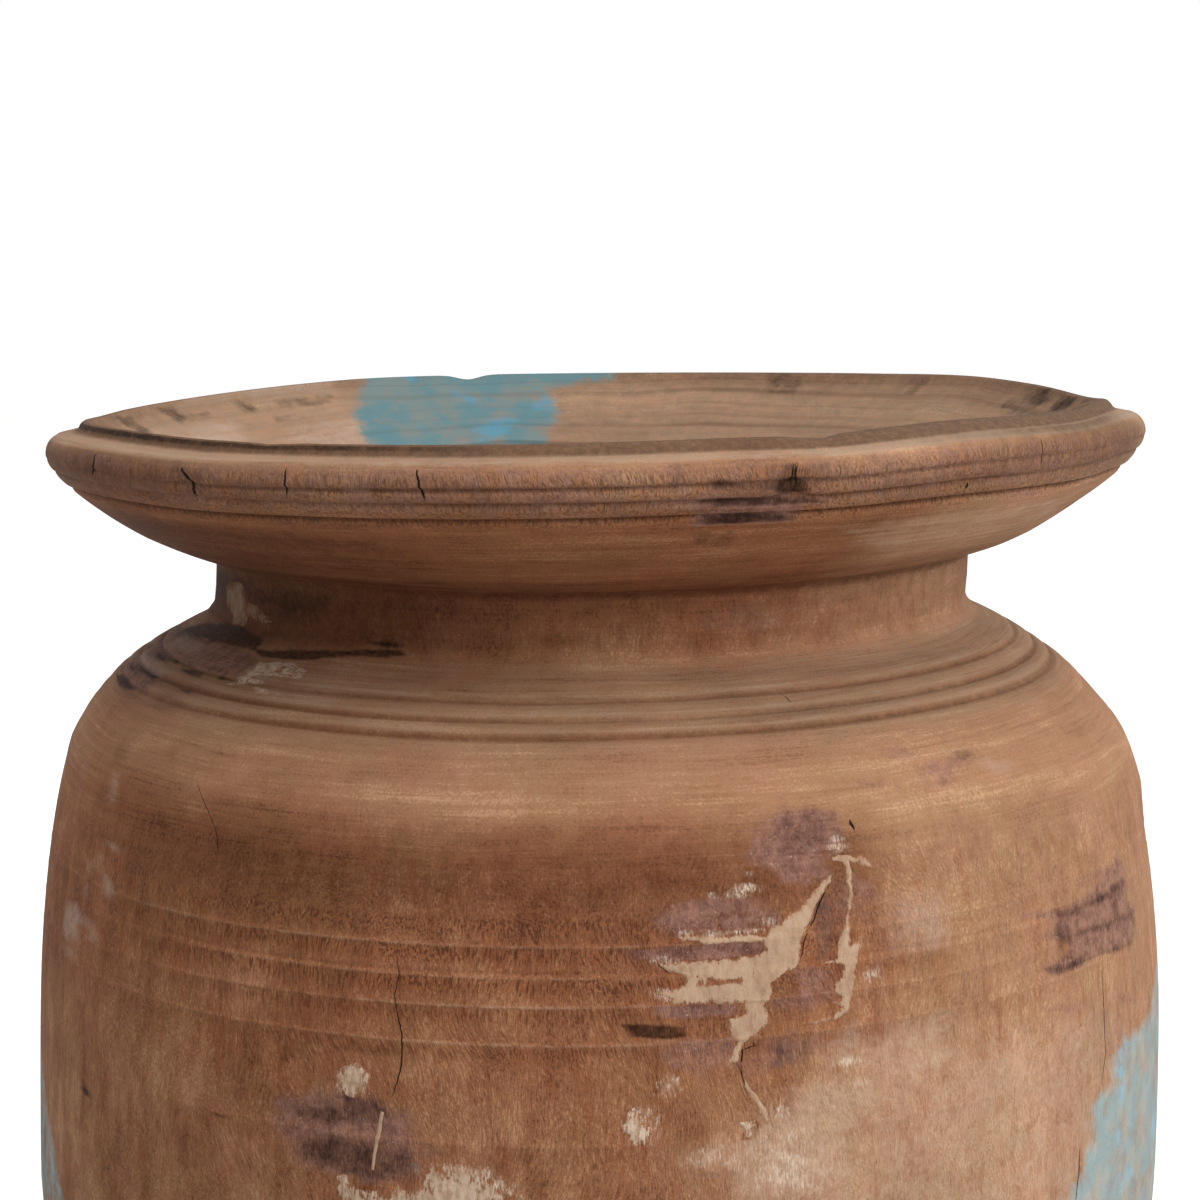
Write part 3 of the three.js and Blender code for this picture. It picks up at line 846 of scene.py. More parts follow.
    def _painted(self, graph: Graph, colour: object, place: object, rough: object,
                 effects: Effects) -> tuple[Socket, Socket]:
        """Leaves what remains of the blue paint.

        Args:
            graph: the material's graph.
            colour: the aged wood's colour.
            place: the place on the pot in mm.
            rough: the value that breaks up edges.
            effects: the shared node groups.

        Returns:
            The colour with paint, and the mask of paint.
        """
        cloud = graph.noise(place, 0.085, 4.0, 0.62)
        broken = graph.total(((rough, 0.4), (cloud, 1.4)), -0.7)
        sockets = {"Field": graph.attribute(Mark.PAINT.value), "Rough": broken, "Ragged": 1.0, "Soft": 0.4}
        mask = graph.group(effects.ragged, sockets).outputs["Mask"]
        dish = graph.step(graph.node("SeparateXYZ", {0: place}).outputs[2], 300.0, 320.0)
        thick = graph.total(((graph.step(cloud, 0.36, 0.6), 0.3), (graph.step(rough, -0.3, 0.25), 0.16),
                             (dish, 0.3)), 0.42)
        mask = graph.math("MULTIPLY", mask, thick, clamp=True)
        tint = graph.blend(graph.step(graph.noise(place, 0.1, 3.0), 0.4, 0.62), self.paint, self.paint_grey)
        fresh = graph.step(graph.noise(place, 0.06, 3.0), 0.55, 0.68)
        tint = graph.blend(graph.times(fresh, 0.7), tint, self.paint_bright)
        tint = graph.blend(dish, tint, self.shade, "MULTIPLY")
        return graph.blend(mask, colour, tint), mask

    @staticmethod
    def _checks(graph: Graph, place: object) -> Socket:
        """Draws the drying cracks, thin and a little crooked.

        Args:
            graph: the material's graph.
            place: the place on the pot in mm.

        Returns:
            The mask of cracks.
        """
        upright = graph.vector("MULTIPLY", place, (0.0, 0.0, 1.0))
        crooked = graph.off_half(graph.noise(upright, 0.5, 4.0, 0.7), 1.3)
        away = graph.math("ABSOLUTE", graph.math("ADD", graph.attribute("check"), crooked))
        width = graph.attribute("check_width")
        line = graph.math("SUBTRACT", 1.0, graph.step(away, graph.times(width, 0.4), width))
        return graph.times(line, graph.step(width, 0.02, 0.12))


@dataclass(frozen=True)
class SandyPutty:
    """Dry filler of sand and glue, rubbed down so that the wood shows through at its edges."""

    tones: WoodTones = WoodTones()
    pale: Colour = srgb(166, 135, 108)
    brown: Colour = srgb(150, 117, 91)
    white: Colour = srgb(202, 180, 158)
    grain: Colour = srgb(108, 80, 62)
    # dark tint for grime and painted shade on a mend under the rim
    grime: Colour = (0.32, 0.27, 0.24, 1.0)
    roughness: float = 0.92
    shine: float = 0.2
    slope: float = 0.05
    bump: float = 0.5
    bump_height: float = 0.0006

    def build(self, effects: Effects) -> Material:
        """Makes the material.

        Args:
            effects: the shared node groups.

        Returns:
            The finished material.
        """
        material, graph, shader = Graph.material("sandy_putty")
        place = graph.place()
        values = {"Place": place, "Slope": self.slope, "Tear": 0.5, "Weather": 0.25}
        bare = graph.group(effects.bare, values | self.tones.sockets()).outputs
        colour = graph.blend(graph.step(graph.noise(place, 0.14, 3.0), 0.36, 0.7), self.pale, self.brown)
        bright = graph.step(graph.noise(graph.tall(place, 0.4), 0.7, 3.0), 0.3, 0.65)
        flecked = graph.attribute("flecked")
        colour = graph.blend(graph.times(bright, flecked), colour, self.white)
        sand = graph.step(graph.noise(place, 2.6, 1.0), 0.6, 0.72)
        colour = graph.blend(graph.times(sand, 0.3), colour, self.grain)
        broken = graph.group(effects.broken, {"Place": place, "Slope": self.slope})
        sockets = {"Field": graph.attribute("cover"), "Rough": broken.outputs["Rough"],
                   "Ragged": graph.total(((flecked, 1.3),), 1.3), "Soft": 0.24}
        cover = graph.group(effects.ragged, sockets).outputs["Mask"]
        colour = graph.blend(cover, bare["Colour"], colour)
        rough = graph.noise(place, 1.6, 3.0, 0.65)
        height = graph.total(((rough, 0.6), (cover, 0.35), (bare["Height"], 0.4)))
        bump = graph.node("Bump", {"Height": height, "Strength": self.bump, "Distance": self.bump_height})
        graph.feed(shader, {
            # darkened for grime and painted shade where a mend asks for it
            "Base Color": graph.blend(graph.attribute("grime"), colour, self.grime, "MULTIPLY"),
            "Normal": bump.outputs[0], "Roughness": self.roughness, "Specular IOR Level": self.shine,
        })
        return material


def only(piece: Piece) -> None:
    """Selects one piece alone and makes it the active one.

    Args:
        piece: the piece.
    """
    bpy.ops.object.select_all(action="DESELECT")
    piece.select_set(True)
    bpy.context.view_layer.objects.active = piece


def coordinates(piece: Piece) -> Array:
    """Reads a mesh's points.

    Args:
        piece: the piece.

    Returns:
        The points, one row each.
    """
    flat = np.empty(3 * len(piece.data.vertices))
    piece.data.vertices.foreach_get("co", flat)
    return flat.reshape(-1, 3)


def set_coordinates(piece: Piece, points: Array) -> None:
    """Moves a mesh's points to the rows given."""
    piece.data.vertices.foreach_set("co", np.ascontiguousarray(points, dtype=float).ravel())
    piece.data.update()


def write_fields(piece: Piece, values: dict[str, Array]) -> None:
    """Gives a mesh's points the attributes that the finishes read.

    Args:
        piece: the piece.
        values: each attribute's name, and its value at each point.
    """
    for name, column in values.items():
        layer = piece.data.attributes.new(name, "FLOAT", "POINT")
        layer.data.foreach_set("value", np.ascontiguousarray(column, dtype=np.float32))


@dataclass
class Places:
    """Where the spun pot's points lie before age moves them; the points are rows of x, y and height."""

    wall: PotWall
    points: Array
    front_fade: tuple[float, float] = (105.0, 165.0)

    def __post_init__(self) -> None:
        """Works out each point's angle, radius, height, side and place along the profile."""
        x, y, self.height = self.points.T
        self.radius = np.hypot(x, y)
        self.phi = np.arctan2(x, -y)
        self.turn = np.degrees(self.phi)
        self.outer = self.wall.is_outer(self.radius, self.height)
        self.run = self.wall.at_height(self.height, self.wall.run)
        self.front = 1 - smooth_step(np.abs(self.turn), *self.front_fade)

    def wave(self, seed: float) -> Array:
        """A slow wave round the pot that is the same all the way up."""
        return self.wall.wander(self.phi, 0.0, seed)

    def along(self, cut: Groove, number: int, half: float, aside: float = 0.0) -> Array:
        """How near each point lies to a cut's middle, or to a line beside it, from 0 to 1."""
        return bell(self.run, self.wall.middle_of(cut, number, self.phi, aside), half)


@dataclass(frozen=True)
class Coat:
    """Darkening in a band of heights, painted shade on the neck and under the rim and a darker lip: its
    strength in front, and what the pot's left and right add.
    """

    band: Band
    front: float
    left: float
    right: float

    def laid(self, height: Array, left: Array, right: Array) -> Array:
        """The coat's strength at each point; left and right say how far round to that side it is."""
        return self.band.share(height) * (self.front + self.left * left + self.right * right)


@dataclass
class PotAge:
    """What age has left on the wall, with shade and highlights painted in. Every field is a value for each
    point, most from 0 to about 1.

    Bands, ramps and humps are of heights unless their names say arc, for angles, or out, for radii.
    """

    wall: PotWall
    blots: tuple[Blot, ...]
    checks: tuple[Check, ...]
    left_arc: Ramp = Ramp(5.0, 55.0)
    right_arc: Ramp = Ramp(15.0, 60.0)
    # painted shade: the neck and the rim's underside are darkened, most on the pot's left; the lip's face is
    # darker towards its sides
    neck: Coat = Coat(Band(313.0, 322.0, 336.0, 350.0), 0.44, 0.8, 0.0)
    under_rim_shade: Coat = Coat(Band(336.0, 342.0, 352.0, 362.0), 0.28, 0.75, -0.28)
    lip: Coat = Coat(Band(358.0, 366.0, 374.5, 376.0), 0.1, 0.46, 0.6)
    lip_end_arc: Ramp = Ramp(62.0, 80.0)
    shelf: Ramp = Ramp(374.4, 376.0)
    shelf_out: Ramp = Ramp(161.0, 163.0)
    shelf_end_arc: Ramp = Ramp(58.0, 74.0)
    # painted shade in the crease between neck and rim
    cove: Hump = Hump(335.0, 2.4)
    crown: Hump = Hump(266.0, 16.0)
    crown_arc: Ramp = Ramp(24.0, 60.0)
    crown_turn: float = -12.0
    sunny: Hump = Hump(268.0, 22.0)
    sunny_arc: Band = Band(24.0, 36.0, 52.0, 66.0)
    # painted shade on the dish's wall just below the mouth
    brim: Ramp = Ramp(366.0, 376.0)
    brim_out: Ramp = Ramp(147.0, 155.0)
    edge_out: Band = Band(155.0, 156.4, 161.6, 163.0)
    edge_top: float = 376.6
    # painted light: the dish is darkened less where the lamp falls on its far left
    dish_sunlit_arc: Band = Band(70.0, 105.0, 140.0, 170.0)
    dish_ringed_arc: Band = Band(40.0, 100.0, 164.0, 180.0)
    film: Band = Band(358.0, 366.0, 373.5, 376.0)
    film_end_arc: Ramp = Ramp(62.0, 82.0)
    # painted shade: a dark line at the foot of the mouth's ridge, on the pot's left
    line: Ramp = Ramp(376.4, 377.2)
    shade_line_out: Hump = Hump(160.0, 1.1)
    shade_line_arc: Band = Band(-6.0, 30.0, 88.0, 120.0)
    # the lip's top edge: wear and a painted highlight
    lip_wear_and_highlight: Ramp = Ramp(373.6, 375.8)
    lip_wear_and_highlight_out: Hump = Hump(165.6, 1.4)
    worn_mouth: Ramp = Ramp(376.5, 379.0)
    worn_mouth_out: Hump = Hump(154.9, 0.8)
    rubbed_end: Ramp = Ramp(204.0, 226.0)
    rubbed_arc: Band = Band(4.0, 26.0, 52.0, 70.0)
    shoulder_turned: Band = Band(256.0, 276.0, 310.0, 316.0)
    neck_turned: Band = Band(310.0, 318.0, 334.0, 342.0)
    torn_belly: Band = Band(214.0, 226.0, 250.0, 258.0)
    torn_low: Band = Band(60.0, 120.0, 214.0, 232.0)
    torn_lip: Band = Band(356.0, 360.0, 371.5, 375.0)
    torn_right_arc: Ramp = Ramp(12.0, 36.0)
    torn_left_arc: Ramp = Ramp(30.0, 60.0)
    torn_top: float = 257.2
    torn_tall: float = 5.0
    dusty_shoulder: Band = Band(292.0, 302.0, 313.0, 320.0)
    dusty_shoulder_arc: Ramp = Ramp(0.0, 40.0)
    dusty_lip: Ramp = Ramp(356.0, 364.0)
    dusty_lip_arc: Ramp = Ramp(50.0, 78.0)
    dusty_top: Ramp = Ramp(374.2, 376.2)
    dusty_top_arc: Ramp = Ramp(10.0, 50.0)
    dusty_dish: Ramp = Ramp(330.0, 345.0)
    back_arc: Ramp = Ramp(95.0, 140.0)
    tan_arc: Ramp = Ramp(0.0, 30.0)
    tan_starts: Outline = ((190.0, -4.0), (226.0, 14.0))
    levels: tuple[float, ...] = (0.0, 190.0, 270.0, 286.0, 306.0, 314.0, 335.0, 354.0, 364.0, 374.0, 377.0)
    tan_plain: tuple[float, ...] = (0.38, 0.4, 0.0, 0.6, 0.78, 0.4, 0.05, 0.0, 0.35, 0.6, 0.85)
    tan_sunny: tuple[float, ...] = (0.95, 1.0, 0.9, 1.0, 1.0, 0.8, 0.85, 0.95, 0.75, 0.8, 0.95)
    rim_foot: float = 330.0
    dish_radius: float = 140.0
    blot_reach: float = 15.0
    crack_reach: float = 14.0
    crack_beyond: float = 7.0
    crack_aside: float = 3.0
    no_crack: float = 9.0

    def fields(self, at: Places) -> dict[str, Array]:
        """Gathers all that the wood's finish reads.

        Args:
            at: the pot's points.

        Returns:
            Each attribute's name, and its value at each point.
        """
        found = {
            "run": np.where(at.outer, at.run, 700.0 - at.height * 1.3 + at.radius * 0.4),
            "slope": self._slope(at), "dirt": self._dirt(at), "worn": self._worn(at), "tear": self._tear(at),
            "weather": self._weather(at), "rings": self._ringed(at), "dust": self._dust(at),
            "groove": self._groove_dirt_and_crest_shade(at),
        }
        for mark in Mark:
            found[mark.value] = np.maximum(found.get(mark.value, 0.0), self._blotted(mark, at))
        film = 0.42 * self.film.share(at.height) * (1 - 0.85 * self.film_end_arc.share(np.abs(at.turn)))
        found["stain"] = np.maximum(found["stain"], np.where(at.outer, film, 0.0))
        # painted shade: a dark line at the foot of the mouth's ridge on the pot's left, laid in with the soot
        line = self.shade_line_out.share(at.radius) * self.line.share(at.height) * (0.8 + 0.5 * at.wave(2.9))
        found["soot"] = np.maximum(found["soot"], 1.15 * line * self.shade_line_arc.share(-at.turn))
        found["check"], found["check_width"] = self._checked(at)
        return found

    def _slope(self, at: Places) -> Array:
        """How far the wood shows the turning's lines rather than its upright fibres.

        Args:
            at: the pot's points.

        Returns:
            A value for each point.
        """
        slope = np.abs(self.wall.at_height(at.height, self.wall.normal[:, 1]))
        turned = (0.75 * self.shoulder_turned.share(at.height), 0.5 * self.neck_turned.share(at.height))
        slope = np.where(at.outer, np.maximum.reduce((slope, *turned)), 1.0)
        return np.where(at.height > self.wall.lip_height, 0.6, slope)

    def _dirt(self, at: Places) -> Array:
        """Where the wood is darker: dirt in groove floors and on the mouth's edge; painted shade on the neck,
        under the rim, in the crease between them and inside below the mouth; darker on the lip, the upper
        belly and the dish, with painted light where the lamp falls in the dish.

        Args:
            at: the pot's points.

        Returns:
            A value for each point.
        """
        total = np.zeros(len(at.phi))
        for number, groove in enumerate(self.wall.grooves):
            most = 0.88 if groove.height > self.rim_foot else 0.4
            depth = most * groove.depth * (0.95 + 0.35 * at.wave(number + 0.4))
            total = np.maximum(total, depth * at.along(groove, number, groove.half_width))
        left = self.left_arc.share(-at.turn) * at.front
        right = self.right_arc.share(at.turn) * at.front
        lip_right = right * (1 - self.lip_end_arc.share(at.turn))
        shelf_right = right * (1 - self.shelf_end_arc.share(at.turn))
        shelf = self.shelf_out.share(at.radius) * self.shelf.share(at.height)
        crown = self.crown.share(at.height) * (1 - self.crown_arc.share(np.abs(at.turn - self.crown_turn)))
        sunny = self.sunny.share(at.height) * self.sunny_arc.share(at.turn)
        # painted shade on the neck, under the rim and in the crease between them
        total = np.maximum.reduce((
            total, self.neck.laid(at.height, left, right), self.under_rim_shade.laid(at.height, left, right),
            self.lip.laid(at.height, left, lip_right), shelf * (0.04 + 0.76 * shelf_right),
            0.85 * self.cove.share(at.height), 0.6 * crown, 0.32 * sunny,
        ))
        # painted shade below the mouth inside the dish, and painted light where the lamp falls on its far
        # left
        brim = self.brim_out.share(at.radius) * self.brim.share(at.height)
        dish = 0.34 - 0.16 * self.dish_sunlit_arc.share(-at.turn) + 0.3 * brim
        dish = dish + 0.16 * self.wall.wander(at.phi, at.radius, 4.4)
        edge = self.edge_out.share(at.radius) * smooth_step(at.height, self.wall.lip_height, self.edge_top)
        return np.maximum(np.where(at.outer, total, dish), edge * (1.0 + 0.2 * at.wave(9.2)))

    def _ringed(self, at: Places) -> Array:
        """How strongly the tool's rings show in the dish inside the mouth, most on its right."""
        right = self.dish_ringed_arc.share(at.turn)
        return np.where(at.outer, 0.0, 0.34 + 0.34 * right + 0.3 * self.wall.wander(at.phi, at.radius, 8.3))

    def _worn(self, at: Places) -> Array:
        """Where the wood is pale: rubbed on the lip's top, the mouth's edge and the lower belly, with painted
        highlights on the lip's top edge and above the shoulder's grooves and painted sheen on the belly's
        crests.

        Args:
            at: the pot's points.

        Returns:
            A value for each point.
        """
        # the lip's top edge: wear and a painted highlight
        lip = 0.66 * self.lip_wear_and_highlight_out.share(at.radius) * self.lip_wear_and_highlight.share(at.height)
        mouth = 0.35 * self.worn_mouth_out.share(at.radius) * self.worn_mouth.share(at.height)
        edges = np.maximum(lip, mouth) * (0.85 + 0.3 * at.wave(3.9))
        wall = 0.52 * self.rubbed_arc.share(at.turn) * (1 - self.rubbed_end.share(at.height))
        # painted highlight on the lit lip above each shoulder groove
        for number, groove in enumerate(self.wall.grooves):
            if 298.0 < groove.height < self.rim_foot:
                wall = np.maximum(wall, 0.5 * at.along(groove, number, half=0.9, aside=2.3))
        shows = 1.0 - 0.8 * np.clip(np.abs(at.turn - self.crown_turn) / 70.0, 0.0, 1.0)
        # painted sheen along the belly's crests, most at the front
        for number, crest in enumerate(self.wall.crests):
            strength = (1.25 + 1.1 * at.wave(number + 7.7)) * crest.depth * shows
            wall = np.maximum(wall, strength * at.along(crest, number, 0.9 * crest.half_width))
        return np.maximum(edges, np.where(at.outer, wall, 0.0))

    def _tear(self, at: Places) -> Array:
        """Where the tool tore the fibres: under each of the belly's crests, and on the lip.

        Args:
            at: the pot's points.

        Returns:
            A value for each point.
        """
        belly = 0.3 * self.torn_belly.share(at.height)
        for top in [crest.height for crest in self.wall.crests if crest.height > 210.0] + [self.torn_top]:
            below = top + 0.4 * at.wave(top) - at.height
            row = bell(np.maximum(below - 1.0, 0.0), 0.0, self.torn_tall) * smooth_step(below, -0.2, 0.8)
            belly = np.maximum(belly, row * (0.9 if top > 240.0 else 0.68))
        side = 1.0 - 0.6 * self.torn_right_arc.share(at.turn)
        side = side * (1.0 - 0.6 * self.torn_left_arc.share(-at.turn))
        body = np.maximum(belly, 0.3 * self.torn_low.share(at.height)) * side
        return np.where(at.outer, np.maximum(body, 0.72 * self.torn_lip.share(at.height)), 0.0)

    def _weather(self, at: Places) -> Array:
        """Where sun and dust have turned the brown wood tan.

        Args:
            at: the pot's points.

        Returns:
            A value for each point.
        """
        back = self.back_arc.share(np.abs(at.turn))
        start = np.interp(at.height, *np.array(self.tan_starts).T)
        right = self.tan_arc.share(at.turn - start) * (1 - back) + 0.5 * back
        plain, sunny = (np.interp(at.height, self.levels, tan) for tan in (self.tan_plain, self.tan_sunny))
        outside = plain + (sunny - plain) * right + 0.15 * self.wall.wander(at.phi, at.height, 1.3)
        return np.where(at.outer, outside, 0.85 + 0.15 * self.wall.wander(at.phi, at.height, 6.1))

    def _groove_dirt_and_crest_shade(self, at: Places) -> Array:
        """Where the wood is reddened dark: dirt in the shoulder's grooves, and painted shade below the
        belly's crests, most at the front.

        Args:
            at: the pot's points.

        Returns:
            A value for each point.
        """
        shows = np.clip(1.15 - np.abs(at.turn + 14.0) / 75.0, 0.15, 1.0)
        total = np.zeros(len(at.phi))
        # grooves: dirt in their floors; crests: painted shade in a band below each
        for cuts, aside, spread in ((self.wall.grooves, 0.3, 1.5), (self.wall.crests, -2.6, 4.2)):
            for number, cut in enumerate(cuts):
                if 190.0 < cut.height < self.rim_foot:
                    most = 0.95 * cut.depth if cuts is self.wall.grooves else 0.46 * shows
                    most = most * (0.85 + 0.4 * at.wave(number + 2.2))
                    total = np.maximum(total, most * at.along(cut, number, spread * cut.half_width, aside))
        return np.where(at.outer, total, 0.0)

    def _dust(self, at: Places) -> Array:
        """Where grey dust has settled: on the shoulder, the lip's top and ends, and in the dish.

        Args:
            at: the pot's points.

        Returns:
            A value for each point.
        """
        ends = 0.3 + 0.25 * self.dusty_lip_arc.share(np.abs(at.turn))
        top = 0.62 + 0.5 * self.dusty_top_arc.share(at.turn) * at.front
        shoulder = 0.34 + 0.14 * self.dusty_shoulder_arc.share(at.turn) * at.front
        outside = np.maximum.reduce((
            ends * self.dusty_lip.share(at.height), top * self.dusty_top.share(at.height),
            shoulder * self.dusty_shoulder.share(at.height),
        ))
        return np.where(at.outer, outside, np.maximum(0.62 * self.dusty_dish.share(at.height), 0.25))

    def _blotted(self, mark: Mark, at: Places) -> Array:
        """Paints one kind of mark.

        Args:
            mark: which kind.
            at: the pot's points.

        Returns:
            A value for each point, half the mark's strength at each outline.
        """
        total = np.zeros(len(at.turn))
        for blot in self.blots:
            if blot.mark is not mark:
                continue
            corners = np.array(blot.outline)
            first = corners[0, 0]
            across = (at.turn - first + 180.0) % 360.0 - 180.0 + first
            if blot.side is Side.OUTSIDE:
                middle = float(self.wall.radius_at(corners[:, 1].mean()))
                places = self.wall.flat(across, at.height, middle)
                outline = self.wall.flat(corners[:, 0], corners[:, 1], middle)
                here = at.outer
            else:
                places = np.stack([np.radians(across) * self.dish_radius, at.radius], axis=1)
                outline = np.stack([np.radians(corners[:, 0]) * self.dish_radius, corners[:, 1]], axis=1)
                here = ~at.outer & (at.height > self.rim_foot)
            low, high = outline.min(axis=0) - self.blot_reach, outline.max(axis=0) + self.blot_reach
            near = here & np.all((places > low) & (places < high), axis=1)
            depth = inside_distance(places[near], outline)
            total[near] = np.maximum(total[near], blot.strength * smooth_step(depth, -blot.blur, blot.blur))
        return total

    def _checked(self, at: Places) -> tuple[Array, Array]:
        """Measures how far each point lies to the side of the nearest crack.

        Args:
            at: the pot's points.

        Returns:
            The sideways distance, and the crack's half width there, which is 0 away from it.
        """
        away = np.full(len(at.turn), self.no_crack)
        width = np.zeros(len(at.turn))
        nearest = np.full(len(at.turn), self.crack_reach)
        for check in self.checks:
            path = np.array(sorted(check.path, key=lambda spot: spot[1]))
            low, high = path[0, 1], path[-1, 1]
            aside = np.radians(at.turn - np.interp(at.height, path[:, 1], path[:, 0]))
            aside = aside * self.wall.radius_at(at.height)
            share = np.clip((at.height - low) / (high - low), -0.2, 1.2)
            taper = np.clip(1.0 - np.abs(2 * share - 1.0) ** 4, 0.0, 1.0) ** 0.5
            foot = check.half_width if check.low_half_width is None else check.low_half_width
            taper = taper * (foot + (check.half_width - foot) * np.clip(share, 0.0, 1.0))
            beyond = np.maximum(low - at.height, at.height - high)
            far = np.hypot(aside, np.maximum(beyond, 0.0))
            near = at.outer & (far < nearest) & (beyond < self.crack_beyond)
            nearest[near] = far[near]
            away[near] = aside[near]
            width[near] = np.where(np.abs(aside[near]) < self.crack_aside, taper[near], 0.0)
        return away, width


@dataclass
class TurnedPot:
    """The vessel: a profile spun round its axis, aged, marked and finished."""

    wall: PotWall
    age: PotAge
    front_arc: float = 160.0
    front_steps: int = 262
    back_steps: int = 86
    inner_uneven: float = 0.5
    inner_outward: float = 0.7

    def build(self, finish: Material) -> Piece:
        """Builds the pot and puts it in place of its CAD node.

        Args:
            finish: the wood.

        Returns:
            The finished object.
        """
        piece = self._spun()
        at = Places(self.wall, coordinates(piece) / MM)
        set_coordinates(piece, self._moved(at))
        write_fields(piece, self.age.fields(at))
        only(piece)
        bpy.ops.object.shade_smooth()
        piece.data.materials.clear()
        piece.data.materials.append(finish)
        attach(piece, "root")
        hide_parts("turned_pot")
        return piece

    def _spun(self) -> Piece:
        """Draws the profile point by point from one corner of a plane and spins it, finer at the front.

        Returns:
            The round pot.
        """
        start = math.radians(-self.front_arc / 2)
        heading = np.array([math.sin(start), -math.cos(start)])
        rows = self.wall.rows() * MM
        points = np.column_stack([rows[:, :1] * heading, rows[:, 1]])
        bpy.ops.object.select_all(action="DESELECT")
        bpy.ops.mesh.primitive_plane_add(size=0.01)
        piece = bpy.context.object
        piece.name = "aged_pot"
        bpy.ops.object.mode_set(mode="EDIT")
        bpy.ops.mesh.select_all(action="SELECT")
        bpy.ops.mesh.merge(type="CENTER")
        bpy.ops.transform.translate(value=points[0])
        for step in np.diff(points, axis=0):
            bpy.ops.mesh.extrude_vertices_move(TRANSFORM_OT_translate={"value": step})
        bpy.ops.mesh.select_all(action="SELECT")
        for arc, steps in ((self.front_arc, self.front_steps), (360.0 - self.front_arc, self.back_steps)):
            bpy.ops.mesh.spin(steps=steps, angle=math.radians(arc), center=(0, 0, 0), axis=(0, 0, 1))
        bpy.ops.mesh.select_all(action="SELECT")
        bpy.ops.mesh.remove_doubles(threshold=0.00002)
        bpy.ops.mesh.normals_make_consistent(inside=False)
        bpy.ops.object.mode_set(mode="OBJECT")
        return piece

    def _moved(self, at: Places) -> Array:
        """Moves the round pot's points as age and hand have.

        Args:
            at: the pot's points.

        Returns:
            The points in metres, one row each.
        """
        wall = self.wall
        grounded = at.height < wall.foot_height
        off = np.where(at.height < wall.lip_height, wall.relief(at.phi, at.height), 0.0)
        inner = self.inner_uneven * wall.wander(at.phi, at.height, 7.7) * smooth_step(at.radius, 20.0, 80.0)
        off = np.where(grounded, 0.0, np.where(at.outer, off, inner))
        across = np.where(at.outer, wall.at_height(at.height, wall.normal[:, 0]), self.inner_outward)
        up = np.where(at.outer, wall.at_height(at.height, wall.normal[:, 1]), 0.0)
        moved = wall.settled(at.phi, at.radius + off * across, at.height + off * up)
        moved[grounded, 2] = 0.0
        return moved


